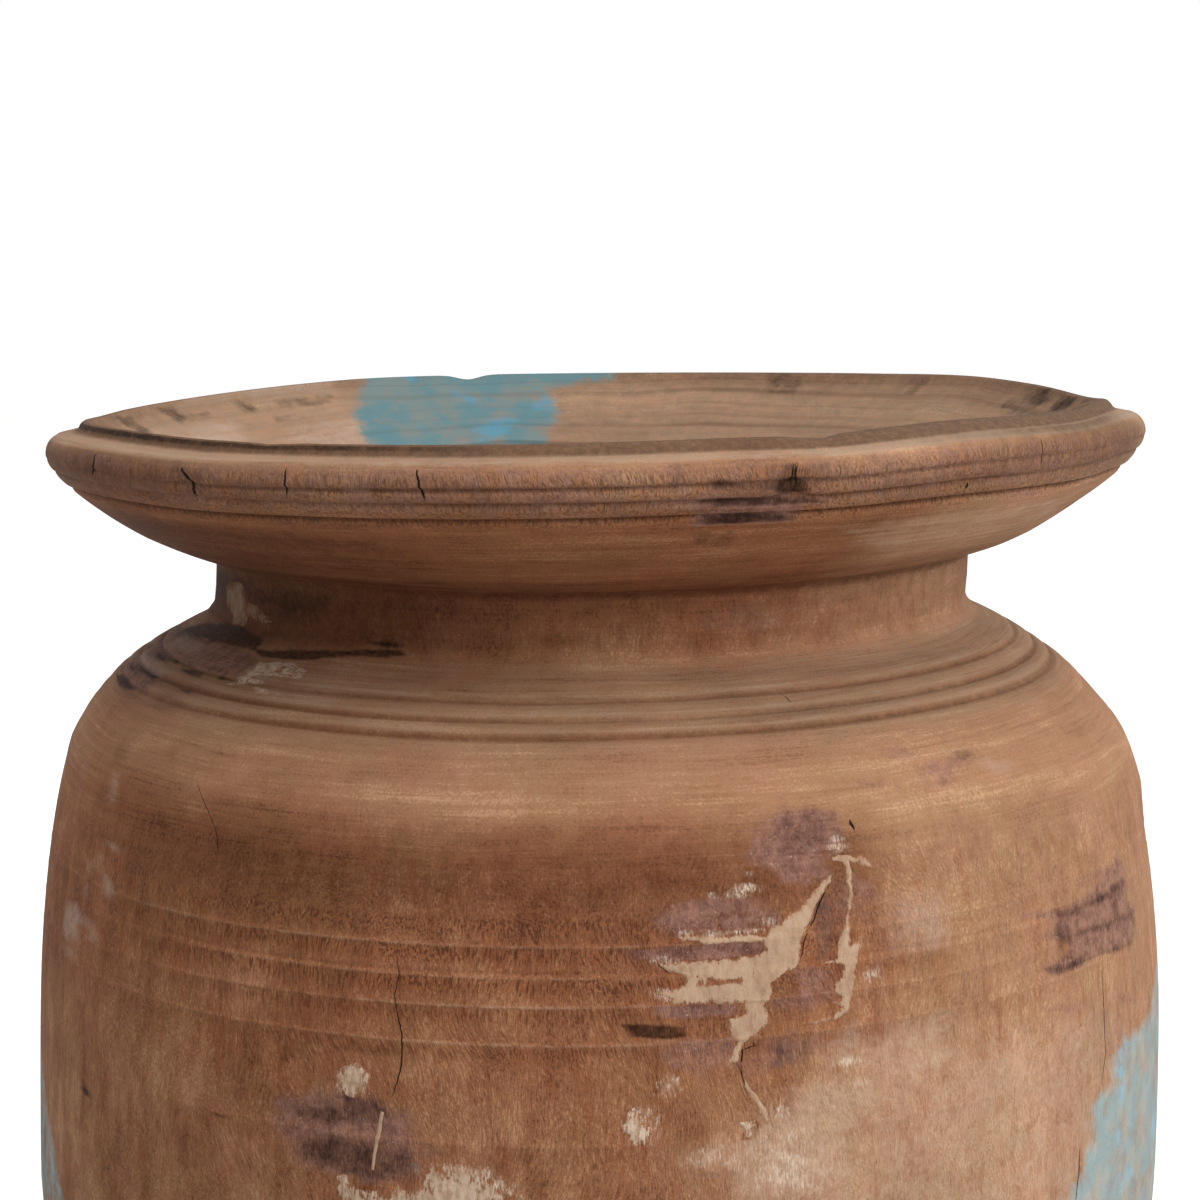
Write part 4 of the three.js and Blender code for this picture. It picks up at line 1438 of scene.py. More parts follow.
@dataclass
class PuttyMend:
    """One putty mend: its node, its outline as angle and height, and how it sits in the wall."""

    node: str
    outline: Outline
    feather: float = 2.0
    flecked: float = 0.25
    # how far the mend is darkened, for grime and painted shade under the rim
    grime: float = 0.0
    scars: tuple[Outline, ...] = ()
    ragged: float = 0.22
    proud: float = 0.2
    sunk: float = 0.03
    rise: float = 0.8
    thick: float = 3.6
    stretch: float = 1.1
    edge_cover: float = 0.38
    full_cover: float = 1.1
    scar_blur: float = 0.5

    def build(self, wall: PotWall, finish: Material) -> Piece:
        """Builds the mend and puts it in place of its CAD node.

        Args:
            wall: the pot's wall that it sits in.
            finish: the putty.

        Returns:
            The finished object.
        """
        middle = np.mean([height for _, height in self.outline])
        scale = np.array([math.radians(1.0) * float(wall.radius_at(middle)), 1.0])
        corners = self._broken_edge(scale)
        piece = self._cut_out(corners)
        spots = coordinates(piece)[:, :2]
        depth = np.maximum(inside_distance(spots, corners), 0.0)
        turn, height = (spots / scale).T
        lift = self.proud * np.sqrt(np.clip(depth / self.rise, 0.0, 1.0)) - self.sunk
        set_coordinates(piece, self._seated(wall, np.radians(turn), height, lift))
        cover = np.minimum(self.edge_cover + depth / self.feather, self.full_cover)
        for scar in self.scars:
            inside = inside_distance(spots, np.array(scar) * scale)
            cover = cover - self.full_cover * smooth_step(inside, -self.scar_blur, self.scar_blur)
        even = np.ones(len(depth))
        write_fields(piece, {"cover": np.maximum(cover, 0.0), "flecked": self.flecked * even,
                             "grime": self.grime * even})
        only(piece)
        solidify = piece.modifiers.new("lump", "SOLIDIFY")
        solidify.thickness = self.thick * MM
        solidify.offset = -1.0
        bpy.ops.object.modifier_apply(modifier=solidify.name)
        bpy.ops.object.shade_smooth_by_angle(angle=math.radians(40))
        piece.data.materials.clear()
        piece.data.materials.append(finish)
        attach(piece, "root")
        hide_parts(self.node)
        return piece

    def _cut_out(self, corners: Array) -> Piece:
        """Makes a flat sheet of small faces inside the outline.

        Args:
            corners: the outline, running anticlockwise.

        Returns:
            The sheet.
        """
        bpy.ops.object.select_all(action="DESELECT")
        bpy.ops.mesh.primitive_circle_add(vertices=len(corners), radius=0.01, fill_type="NGON")
        piece = bpy.context.object
        piece.name = self.node.replace("putty", "filler")
        set_coordinates(piece, np.column_stack([corners, np.zeros(len(corners))]))
        bpy.ops.object.mode_set(mode="EDIT")
        bpy.ops.mesh.select_all(action="SELECT")
        bpy.ops.mesh.quads_convert_to_tris(quad_method="BEAUTY", ngon_method="BEAUTY")
        bpy.ops.mesh.subdivide(number_cuts=5)
        bpy.ops.object.mode_set(mode="OBJECT")
        return piece

    @staticmethod
    def _seated(wall: PotWall, phi: Array, height: Array, lift: Array) -> Array:
        """Lays flat points on the aged wall.

        Args:
            wall: the pot's wall.
            phi: angle in radians.
            height: height above the base.
            lift: how far each point stands off the wall.

        Returns:
            The points in metres, one row each.
        """
        off = wall.relief(phi, height) + lift
        radius = wall.radius_at(height) + off * wall.at_height(height, wall.normal[:, 0])
        return wall.settled(phi, radius, height + off * wall.at_height(height, wall.normal[:, 1]))

    def _broken_edge(self, scale: Array) -> Array:
        """Cuts the outline into short stretches and shakes them, so that the edge looks broken.

        Args:
            scale: mm along the wall for a degree, and for a mm of height.

        Returns:
            The outline in mm along the wall and mm of height, running anticlockwise.
        """
        corners = np.array(self.outline, dtype=float) * scale
        following = np.roll(corners, -1, axis=0)
        if np.sum(corners[:, 0] * following[:, 1] - following[:, 0] * corners[:, 1]) < 0:
            corners = corners[::-1]
        generator = np.random.default_rng(len(self.node) * 7 + 3)
        rows = []
        for a, b in zip(corners, np.roll(corners, -1, axis=0)):
            count = max(1, int(np.linalg.norm(b - a) / self.stretch))
            shares = np.linspace(0.0, 1.0, count + 1)[:-1, None]
            shake = generator.normal(0.0, self.ragged, (count, 2))
            shake[0] *= 0.3
            rows.append(a + (b - a) * shares + shake)
        return np.vstack(rows)


# Each row is a mark's strength, its blur, and its outline outside: angle and height.
WALL_MARKS: dict[Mark, tuple] = {
    Mark.STAIN: (
        (0.95, 3.0, (16.3, 281.3), (17.8, 282.9), (19.8, 282.7), (21.8, 282.5), (22.9, 281.2),
         (22.8, 277.3), (22.2, 271.6), (21.3, 267.8), (20.2, 264.5), (18.6, 263.4), (17.1, 264.3),
         (15.9, 267.6), (14.9, 269.9), (13.4, 269.7), (12.9, 272.2), (14.4, 275.4), (15.3, 278.6)),
        (0.75, 3.0, (8, 262.1), (10.7, 262.7), (13.5, 261.6), (15.3, 258.7), (17.1, 254.7), (15, 254.2),
         (13.2, 252.5), (10.5, 252.5), (7.8, 253.2), (5.4, 253.8), (4.8, 257.9), (6.2, 260.3)),
        (1.15, 1.2, (3.5, 249.7), (6.9, 250.1), (9.7, 250.4), (12.7, 250.6), (14.7, 250.1), (14.3, 247.9),
         (12.6, 247), (10.4, 246.7), (7.8, 246.9), (3.4, 247.4)),
        (1.1, 1.2, (4.4, 235.1), (7.6, 235.4), (12.7, 234.9), (12.8, 232.8), (11.1, 231.9), (8.5, 231.6),
         (5, 232.1)),
        (0.66, 2.0, (4, 226.6), (7.6, 227.1), (11.5, 226.3), (11.5, 220.9), (10.2, 217), (8.1, 215.8),
         (6.3, 218.7), (4.8, 221.6)),
        (0.6, 3.0, (20.3, 261.5), (21.9, 266.1), (23, 264.8), (22.7, 257.1), (21.7, 248.7), (21.2, 244.7),
         (19.6, 243.1), (17.9, 244.1), (18.3, 249.7), (19.3, 255.1)),
        (0.65, 2.5, (16.6, 242.9), (18.7, 242.9), (21.1, 242.1), (20.9, 234.3), (19.9, 231.5),
         (17.9, 231.1), (17.3, 229.2), (15.5, 230.8), (15, 234.6), (17, 235.6), (17.5, 238.3)),
        (0.55, 4.0, (13.8, 226.6), (17.3, 227.2), (20.8, 226.5), (20.6, 222.4), (18.8, 217.2),
         (16.4, 215.6), (13.2, 214.7), (12.5, 220.6)),
        (0.6, 2.5, (24.2, 263.4), (25.3, 265.6), (25.2, 257.9), (24.2, 247.8), (23.7, 250.6), (23.9, 257)),
        (0.5, 2.5, (23.5, 242.8), (25.3, 244.3), (25.8, 238), (24.2, 232.1), (23.3, 235)),
        (0.5, 1.6, (6.5, 192), (11.8, 191.7), (11.8, 189), (7.3, 189.2)),
        (0.5, 4.0, (-71.6, 283), (-66.9, 286.1), (-64.2, 279.4), (-63.5, 270.7), (-66.1, 269.3),
         (-68.6, 277.2)),
        (0.55, 3.0, (-60.4, 250.4), (-57.9, 251.9), (-57.7, 244), (-59.9, 242.6)),
        (0.5, 4.0, (-51.4, 231), (-48.6, 234.1), (-47.7, 226.2), (-50.4, 223.1)),
        (0.88, 2.0, (43.1, 246.5), (45.6, 245.5), (49, 244.5), (52.9, 245.1), (55.3, 246.1), (63.3, 250.1),
         (62.6, 241.4), (64.6, 233.8), (64.4, 225.7), (60.4, 225), (53.1, 227.7), (48, 226.2),
         (44.7, 228.7), (45.4, 230.8), (48.8, 231.5), (48.4, 235.7), (44.1, 237.3), (44.2, 239.2),
         (46.8, 238.6), (46.5, 242.6), (43, 245.1)),
        (0.66, 3.0, (51.5, 252.3), (58.2, 250.2), (63.6, 251.9), (63.7, 244.7), (57.7, 245.6),
         (51.8, 248.2)),
        (0.72, 2.2, (44.9, 218.9), (50, 217), (53.2, 215.6), (51.1, 213.2), (47.6, 215.7)),
        (0.72, 2.0, (54.5, 211.6), (56.1, 211.5), (57, 199.5), (55.1, 202.1)),
        (0.62, 2.5, (58.7, 213.5), (61.6, 213.3), (62.5, 206.4), (59.4, 206.8)),
        (0.52, 5.0, (33, 290), (42, 292), (41, 286.5), (36, 281), (32.5, 284)),
        (0.78, 3.0, (-29.8, 206), (-23.3, 212), (-16.4, 207.2), (-14.7, 196.4), (-15.3, 188.6),
         (-18.8, 185.8), (-24.3, 188.2), (-28.2, 188.3)),
        (0.85, 1.8, (-92, 311), (-78.7, 312.8), (-64.6, 313.8), (-50.6, 313.5), (-48.5, 310.9),
         (-50.2, 308.7), (-59.1, 308.3), (-69.2, 308.4), (-92, 307)),
        (0.8, 4.0, (-85, 309), (-70.8, 307.7), (-62.1, 303.1), (-67.7, 299), (-85, 300)),
        (0.8, 2.0, (8.2, 366.5), (15.5, 366), (20, 364), (18.5, 358), (8.4, 357.6)),
        (0.7, 2.0, (43.2, 360.4), (48.3, 360.3), (49.5, 358.4), (44.5, 358.6)),
        (0.5, 4.0, (14.8, 331.4), (29.2, 329.4), (29.8, 326.1), (22, 323), (15.3, 325)),
        (0.6, 2.0, (36, 289.4), (38.5, 289.6), (38.3, 285.8), (35.7, 285.7)),
        (0.6, 2.0, (26.5, 287.1), (30.4, 286.9), (30.1, 284.8), (26.6, 284.9)),
        (0.5, 2.0, (31.4, 293.6), (35.2, 294.3), (34.6, 290.8), (31.1, 290.4)),
    ),
    Mark.SOOT: (
        (0.42, 3.0, (17.1, 281.1), (19.5, 282.1), (22.5, 281.3), (22.6, 277.4), (21.6, 272.7),
         (19.6, 272.2), (17.5, 272.8), (16.5, 275.9)),
        (0.35, 2.0, (14.9, 228), (19.4, 226.7), (20.5, 219.8), (17.5, 215.7), (14.4, 219.2)),
        (0.55, 1.6, (-48.1, 251.1), (-46.9, 252.8), (-46.1, 250.4), (-44.5, 249.3), (-46.3, 248.4)),
        (0.58, 9.0, (-92, 336), (-66, 335), (-42, 334.5), (-44, 326), (-54, 321.5), (-70, 319),
         (-92, 318.5)),
        (1.2, 2, (-76.4, 315.4), (-65.8, 318), (-59.4, 318.5), (-53.8, 317), (-53, 314.7), (-57.6, 314.4),
         (-64.2, 313.7), (-71.5, 313.3), (-82.7, 311.9)),
        (1, 1.2, (-53.1, 314.5), (-48.4, 315.2), (-44.4, 316.3), (-39.3, 316.8), (-35.6, 317.4),
         (-31.1, 318.4), (-26, 318.6), (-25, 318.1), (-27.1, 316.9), (-33.4, 316.4), (-37.7, 315.5),
         (-41.9, 314.1), (-45.9, 313.8), (-50.5, 313.5)),
        (0.85, 1, (-33.9, 319.6), (-29.5, 321.1), (-24.3, 321), (-25.3, 320.1), (-30.3, 319.3)),
        (0.5, 4, (-66.2, 319.2), (-54.6, 320.6), (-48.2, 316.8), (-56.1, 313.4), (-67, 312.1),
         (-81.9, 309.7), (-93.4, 309.9)),
        (0.9, 1.2, (-78.5, 305.9), (-74, 307.7), (-65.1, 308.6), (-64.1, 307.9), (-68.9, 307)),
        (0.95, 1.2, (-62.8, 307.2), (-60, 308.2), (-56.1, 308), (-55.5, 307.3), (-59.4, 306.7)),
        (0.9, 1.2, (-54, 308.4), (-51.6, 308.8), (-49.5, 308.3), (-50.5, 307.6), (-52.6, 307.8)),
        (0.8, 1.5, (-82.2, 301.8), (-74.6, 304.3), (-65.9, 304.6), (-64.2, 303.6), (-71, 302.9),
         (-76.9, 301.9)),
        (0.9, 1.5, (-81.7, 299.3), (-76.4, 301), (-68.6, 300.9), (-67.2, 299.6), (-72, 298.9),
         (-76.5, 299)),
        (0.8, 1.2, (-86, 306.4), (-80.7, 306.4), (-86.2, 304.9)),
        (0.7, 1.2, (-58.3, 304.2), (-54.6, 304.5), (-53.7, 303.2), (-55.8, 303.1)),
        (0.5, 1.2, (-55.8, 299.3), (-52.9, 299.9), (-52.2, 298.9), (-54, 298.3)),
        (0.6, 9, (-55.9, 332.7), (-38, 335.2), (-38.8, 326), (-46.5, 322.3), (-53.2, 322.4)),
        (0.58, 2.0, (46, 242.9), (49, 244.5), (52.8, 243.7), (57.6, 244.7), (62.6, 245.4), (62.6, 241.4),
         (57.2, 240.9), (52.6, 241.3), (49.3, 240)),
        (0.55, 2.0, (48.5, 236.6), (53.7, 237.2), (60.2, 234.8), (64.6, 233.8), (64.3, 230.9),
         (58.1, 232.2), (52.2, 234.7), (48.9, 234.4)),
        (0.6, 2.0, (44.7, 228.3), (45.3, 230.3), (49.3, 229.7), (53.2, 228.6), (57.8, 227.9), (65, 225.2),
         (62.4, 223.6), (53.8, 227.2), (48.5, 225.8)),
        (0.56, 2.0, (46.5, 242.6), (48.2, 241.6), (49, 230.4), (47.5, 229.4), (47.3, 236.3)),
        (0.55, 2.0, (58.2, 242.3), (60.9, 241.4), (61.6, 227.7), (59.6, 228.1)),
        (0.6, 1.6, (38.2, 289.6), (41.6, 290.6), (42, 288.6), (39.4, 287.6)),
        (0.3, 4, (46, 292.5), (53.7, 294.1), (54, 292.2), (46.3, 290.6)),
        (0.55, 3.0, (-29.6, 205.2), (-27.5, 205.3), (-24.2, 208.3), (-23.4, 211.6), (-19.9, 210.1),
         (-18.4, 209.2), (-16.7, 207.1), (-17, 203.6), (-21.1, 201.6), (-24.9, 200.1), (-26.8, 201.2),
         (-29.5, 202.2)),
        (0.58, 3.0, (-28.1, 196.7), (-24.2, 198.9), (-19.4, 198.7), (-15.3, 198.5), (-14.8, 194.7),
         (-15.3, 189.4), (-18.8, 186.3), (-22.4, 187.7), (-24.3, 189.1), (-27.8, 189.8)),
        (0.42, 3, (-31.2, 221.9), (-24.2, 223.7), (-14.1, 225), (-15.8, 220.9), (-24.2, 219),
         (-29.8, 212.5), (-31.2, 214.1)),
        (0.44, 3, (-15, 197.2), (-11.3, 198.8), (-7.7, 198.4), (-7.8, 196.7), (-12.5, 195.6)),
        (0.9, 0.9, (-58.7, 193), (-57.4, 194.7), (-56.2, 190.3), (-57.2, 188.5)),
        (0.7, 0.9, (-36.1, 198.8), (-35.5, 199.1), (-35.5, 197.5), (-36.1, 197.1)),
        (1.35, 1.3, (1.3, 232), (2.2, 233), (3.1, 231.2), (4.4, 229.3), (6.1, 229.6), (8.1, 227.5),
         (6.5, 226.6), (4.8, 227), (3.5, 227.6), (2.4, 229.6)),
        (0.46, 3, (18, 257.9), (21.8, 267.3), (22.7, 263.2), (22.1, 246.1), (20, 242.8), (18.2, 246)),
        (0.38, 4, (14.5, 223.1), (17.8, 224.8), (19.7, 224.1), (20.1, 215.9), (17.2, 212.8), (14.5, 216.4)),
        (0.44, 3, (16.6, 281.2), (19.8, 282.4), (22.8, 280.8), (22.4, 273.6), (20, 271.7), (16.6, 273.8)),
        (0.62, 1.5, (16.2, 373.9), (19.7, 374.2), (19.6, 370.6), (19.4, 366.8), (18.2, 364.6),
         (16.2, 369.6)),
        (1.25, 1.2, (16.1, 370.7), (17.1, 369.6), (18.1, 369.1), (19, 366.5), (19.3, 364.8), (18.2, 364.6),
         (17, 366.3)),
        (0.9, 1.2, (19, 373.8), (19.8, 373.9), (19.5, 369.9), (19.2, 367.2), (18.8, 369.2)),
        (0.86, 1.5, (8.4, 364.3), (8.9, 365.1), (11.3, 365.5), (15.1, 364.8), (20.4, 363.8), (20.1, 363.1),
         (16, 363.2), (13.3, 363.2), (8.6, 363.5)),
        (0.84, 1.5, (8.5, 359.2), (9.4, 360.3), (11.4, 360.6), (14.8, 360.6), (17, 360.2), (18.3, 359.6),
         (18.2, 358.6), (15.8, 358.5), (13, 358.2), (8.9, 358.3)),
        (0.66, 2.0, (9.3, 369), (10, 371), (11.1, 371.1), (11.4, 369.2), (13, 368.8), (16.4, 368.5),
         (16.6, 367.2), (13, 367.4), (9.6, 368)),
        (0.5, 3.0, (8.4, 356.6), (13, 355.9), (14.1, 352.4), (12.9, 350.3), (10.2, 350.6), (8.9, 353)),
        (0.6, 1.5, (40.2, 291.3), (42.7, 290.5), (41.9, 288.2), (39.9, 288.7)),
    ),
    Mark.HAZE: (
        (0.75, 4.0, (20.8, 225.4), (23.3, 226.1), (23.4, 220.7), (21.6, 217.2), (19.9, 215.7), (19.6, 218)),
        (0.5, 3.0, (18.5, 273.5), (19.7, 274.2), (20.1, 270.6), (18.9, 269.4)),
        (0.7, 2.0, (-56.2, 284.1), (-54.9, 281.9), (-55.9, 276.6), (-57.2, 272.7), (-57.7, 269), (-59, 269),
         (-58.3, 273), (-57.3, 276.5), (-56.8, 280.6)),
        (0.7, 1.6, (-52.8, 266.5), (-54.3, 261.8), (-55.7, 258.3), (-56.9, 256.5), (-57, 258.1),
         (-55.5, 261.2), (-54.2, 264.1)),
        (0.75, 1.6, (-56.5, 257.3), (-54.9, 255.3), (-53.8, 252), (-54, 249), (-55, 247.9), (-55.1, 252.4),
         (-56.7, 254.9)),
        (0.6, 2.0, (-60.8, 253.7), (-57.4, 256.8), (-57.1, 253.5), (-60, 251.8)),
        (0.85, 2.5, (-64.5, 240.9), (-60.2, 242.7), (-58.9, 239.8), (-60.1, 234.4), (-62.2, 230),
         (-64.3, 230.4), (-64.7, 235.4)),
        (0.55, 2.5, (-57.7, 237.1), (-55.2, 242.9), (-54.6, 240.4), (-56.5, 233.5), (-57.9, 232.6)),
        (0.5, 2.0, (-64.1, 228.4), (-59.3, 228.8), (-60.2, 226.1), (-64, 225.8)),
        (0.7, 2, (-90.5, 301.8), (-80.1, 305.7), (-67.4, 306.6), (-64.2, 305.1), (-70.9, 304.4),
         (-79.2, 303.8)),
        (0.5, 3, (42.4, 287.6), (46.9, 287.2), (46.2, 283.4), (41.6, 282.5)),
        (0.5, 4, (26.6, 257.9), (33.4, 256.6), (33.9, 241.3), (26.7, 243.1)),
        (0.6, 2.0, (-76, 312), (-64.8, 312.5), (-63.2, 310.6), (-69.9, 309.4), (-78.3, 308.1)),
    ),
    Mark.CHALK: (
        (0.85, 1.1, (11.4, 264.5), (12.2, 265.4), (12.3, 263.4), (11.4, 261.5), (10.3, 261.7), (11, 262.6)),
        (0.85, 1.1, (13, 268.2), (13.8, 270.6), (14.4, 270.5), (14.3, 267), (13.5, 266.7), (13.1, 267.2)),
        (0.8, 1.0, (12.8, 265.3), (13.2, 265.2), (13.3, 262.4), (12.8, 262.5)),
        (0.7, 1.2, (4.6, 260.5), (5.3, 261.4), (6, 259.3), (5.5, 258.9)),
        (0.6, 2.0, (2.3, 208.7), (3.2, 211.8), (3.9, 208.6), (4.7, 203.7), (4.1, 200.1), (3.1, 198.6),
         (2.1, 201.9)),
        (0.4, 2.5, (4.2, 216.4), (6.3, 217.2), (6.9, 212.9), (5.5, 208.9), (4, 210.7)),
        (0.8, 1.0, (20.8, 213.8), (22, 215.5), (22.5, 217.4), (22.3, 214.8), (21.6, 213)),
        (0.8, 0.9, (21.5, 209.3), (22.3, 212.1), (22.4, 210.5), (21.8, 208.6)),
        (0.6, 0.9, (15.2, 208.8), (15.5, 208.7), (15.5, 204.5), (15.1, 204.6)),
        (0.5, 4.0, (7.3, 196.9), (11.7, 198.1), (17, 200.2), (19.7, 196.5), (19.7, 183), (14.2, 184.5),
         (12.3, 192.1), (7.3, 193.2)),
        (0.6, 2.5, (-15.3, 192.1), (-11.3, 195), (-8.7, 191.1), (-5.4, 185.2), (-11.4, 184.6),
         (-14, 187.6)),
        (1.2, 0.8, (-48.6, 310.3), (-48.8, 312.2), (-46.1, 312.9), (-41.3, 313.4), (-38.8, 311.4),
         (-41.3, 310.4), (-45.2, 310.3), (-46.5, 309.7)),
        (1, 0.8, (-49.3, 306.7), (-49.4, 307.7), (-48.4, 308.6), (-47.1, 309.3), (-44.7, 309),
         (-45.1, 308.5), (-47.5, 307.9), (-48.4, 306.9)),
        (1, 0.8, (-45.9, 306.7), (-43.9, 307.5), (-40.8, 307.7), (-40.5, 307.1), (-44, 306.6)),
        (0.7, 1.5, (22.6, 276.4), (23.9, 275.5), (23.2, 270.5), (22, 270.4)),
        (0.62, 1.2, (7.2, 252.8), (9.2, 253.8), (12, 253.4), (15.6, 255.2), (17, 257.6), (16.2, 253.6),
         (12, 251.8), (8, 252)),
        (0.6, 1.2, (4.6, 247.2), (6.4, 247.4), (7.6, 245.8), (6, 244), (4.8, 245.8)),
        (0.6, 1.2, (4.4, 238.6), (6.6, 240.6), (6.8, 236.4), (5, 236)),
        (0.5, 1.2, (23.6, 238), (25.4, 242.4), (26, 240), (24.6, 235.6)),
    ),
    Mark.RUBBED: (
        (0.85, 6.0, (6.2, 195.6), (9.9, 197), (13.4, 200.8), (17.1, 210.9), (21.8, 214.5), (24.6, 207.9),
         (22.6, 198), (21.6, 190.3), (20.4, 180.2), (12.5, 183.1), (12, 191.1), (7.3, 192.7)),
        (0.6, 5.0, (21.8, 217.1), (26.9, 225.6), (33.5, 227.9), (33.1, 206.3), (26.6, 198.9),
         (22.6, 203.4)),
        (0.42, 6.0, (24, 355), (36, 357), (56, 357), (64, 350), (48, 344), (30, 346)),
    ),
    Mark.TORN: (
        (1.2, 1.0, (16.2, 373.9), (19.7, 374.2), (19.6, 370.6), (19.4, 366.8), (19.3, 364.8), (18.2, 364.6),
         (17, 366.3), (16.2, 369.6)),
    ),
    Mark.PAINT: (
        (1.0, 5.0, (92, 214), (86, 205), (81, 210), (75, 207), (71.2, 203.9), (69.7, 198), (65.3, 196.3),
         (59.5, 199), (57.6, 197.4), (56.3, 195.3), (56.7, 191.3), (58.4, 187.2), (55, 187.4),
         (53.1, 185.3), (52.2, 182.4), (52.6, 177.3), (51.7, 173.8), (51.3, 166.2), (48.6, 164.1),
         (47.5, 150), (44.5, 141), (48, 133), (46, 121), (51, 114), (53, 99), (60, 104), (64, 88), (72, 97),
         (77, 80), (86, 93), (93, 79), (98, 97), (103, 104), (111, 103), (107, 124), (118, 133), (110, 146),
         (121, 158), (109, 167), (114, 183), (103, 186), (108, 199), (97, 202)),
        (0.66, 6.0, (-82, 196), (-76, 188), (-72.6, 179.4), (-68.6, 173.6), (-65.1, 165.1), (-63, 150),
         (-66, 138), (-61.5, 128), (-67, 116), (-75, 111), (-77, 92), (-86, 104), (-93, 85), (-101, 104),
         (-113, 96), (-112, 117), (-125, 128), (-115, 143), (-127, 156), (-114, 165), (-118, 184),
         (-104, 184), (-100, 201), (-90, 189)),
    ),
}

# Each row is a mark's strength, its blur, and its outline in the dish: angle and radius.
DISH_MARKS: dict[Mark, tuple] = {
    Mark.PAINT: (
        (1.0, 5.0, (211.5, 159), (212, 153.4), (214.2, 148.5), (214.2, 144.7), (217.5, 139.9),
         (217.6, 133.9), (218.8, 127.5), (219, 114), (189, 114), (188, 123.7), (186.3, 131), (185.7, 143.5),
         (186.5, 149.3), (182, 151.5), (177.5, 153.2), (177, 159)),
    ),
    Mark.SOOT: (
        (0.75, 2.5, (104, 156), (109, 156), (108, 149), (103.5, 148)),
        (0.8, 2.5, (96, 155), (101, 155), (101, 147), (97, 146)),
        (0.7, 2.5, (88, 155), (93, 155), (93, 149), (89, 148)),
        (0.35, 8.0, (84, 156), (116, 156), (112, 138), (88, 136)),
        (0.45, 3.5, (130, 156), (134, 156), (133, 146), (131, 146)),
        (0.5, 4.0, (150, 156), (156, 156), (155, 145), (151, 146)),
        (0.5, 4.0, (231, 156), (235, 156), (235, 146), (232, 145)),
        (0.55, 4.0, (246, 155), (250, 155), (249, 146), (246, 147)),
        (0.55, 4.0, (258, 155), (264, 155), (262, 143), (258, 144)),
        (0.56, 2.5, (218, 150), (228, 150.5), (229, 147), (219, 146)),
        (0.55, 2.5, (222, 143), (231, 144.5), (237, 142), (229, 140.5)),
        (0.55, 2.5, (240, 151), (247, 150), (246, 146), (241, 147)),
    ),
    Mark.HAZE: (
        (0.58, 4.0, (216, 158), (242, 158), (246, 153), (217, 152)),
        (0.58, 6.0, (238, 146), (262, 145), (262, 126), (242, 122)),
        (0.56, 5.0, (214, 139), (230, 138), (238, 126), (214, 122)),
    ),
}

BLOTS: tuple[Blot, ...] = tuple(
    Blot(mark, tuple(outline), strength, blur, side)
    for side, marks in ((Side.OUTSIDE, WALL_MARKS), (Side.INSIDE, DISH_MARKS))
    for mark, rows in marks.items() for strength, blur, *outline in rows)

CHECKS: tuple[Check, ...] = (
    Check(((-18.0, 248.6), (-17.6, 242.3), (-18.0, 237.3), (-17.7, 232.4), (-17.2, 226.5), (-17.2, 219.4),
           (-17.6, 214.3), (-18.2, 208.9)), 0.2, 0.36),
    Check(((-42.8, 285.8), (-40.7, 280.6), (-39.5, 276.6), (-38.4, 272.5), (-37.9, 267.7)), 0.2, 0.3),
    Check(((-56.2, 374), (-57.4, 367.5)), 1.0), Check(((-41.0, 373), (-40.0, 368.9), (-39.6, 365.4)), 1.3),
    Check(((-28.5, 374), (-28.5, 367.6)), 0.5), Check(((-15.7, 374.5), (-15.4, 370), (-15.0, 367.0)), 0.6),
    Check(((45.9, 374.5), (46.1, 367.2)), 0.28),
    Check(((21.7, 265.6), (19.9, 257.8), (19.4, 254.5), (18.4, 249.9), (17.9, 244.6)), 0.34),
    Check(((15.6, 239.8), (16.3, 238.9), (16.7, 238.0)), 0.45),
    Check(((12.3, 225.2), (12.2, 220.3), (12.0, 217.8), (12.4, 213.6)), 0.45),
    Check(((24.1, 278), (24.4, 276)), 0.8),
    Check(((55.0, 223.5), (55.0, 216.8), (55.1, 197.7), (54.2, 189.5)), 0.3),
    Check(((50.1, 174), (50.0, 164.9), (49.3, 158)), 0.4),
    Check(((23.1, 308.2), (23.8, 305.5)), 0.22),
    Check(((17.6, 373.8), (17.5, 370.6), (17.4, 367.0)), 0.3), Check(((21.9, 372.9), (21.8, 369.4)), 0.14),
    Check(((36.5, 364.3), (36.5, 362.8)), 0.8),
    Check(((5.1, 246.0), (6.0, 243.6), (7.2, 242.9), (8.3, 242.2)), 0.3),
    Check(((13.2, 225.0), (13.4, 223.2), (14.2, 221.0)), 0.25),
)

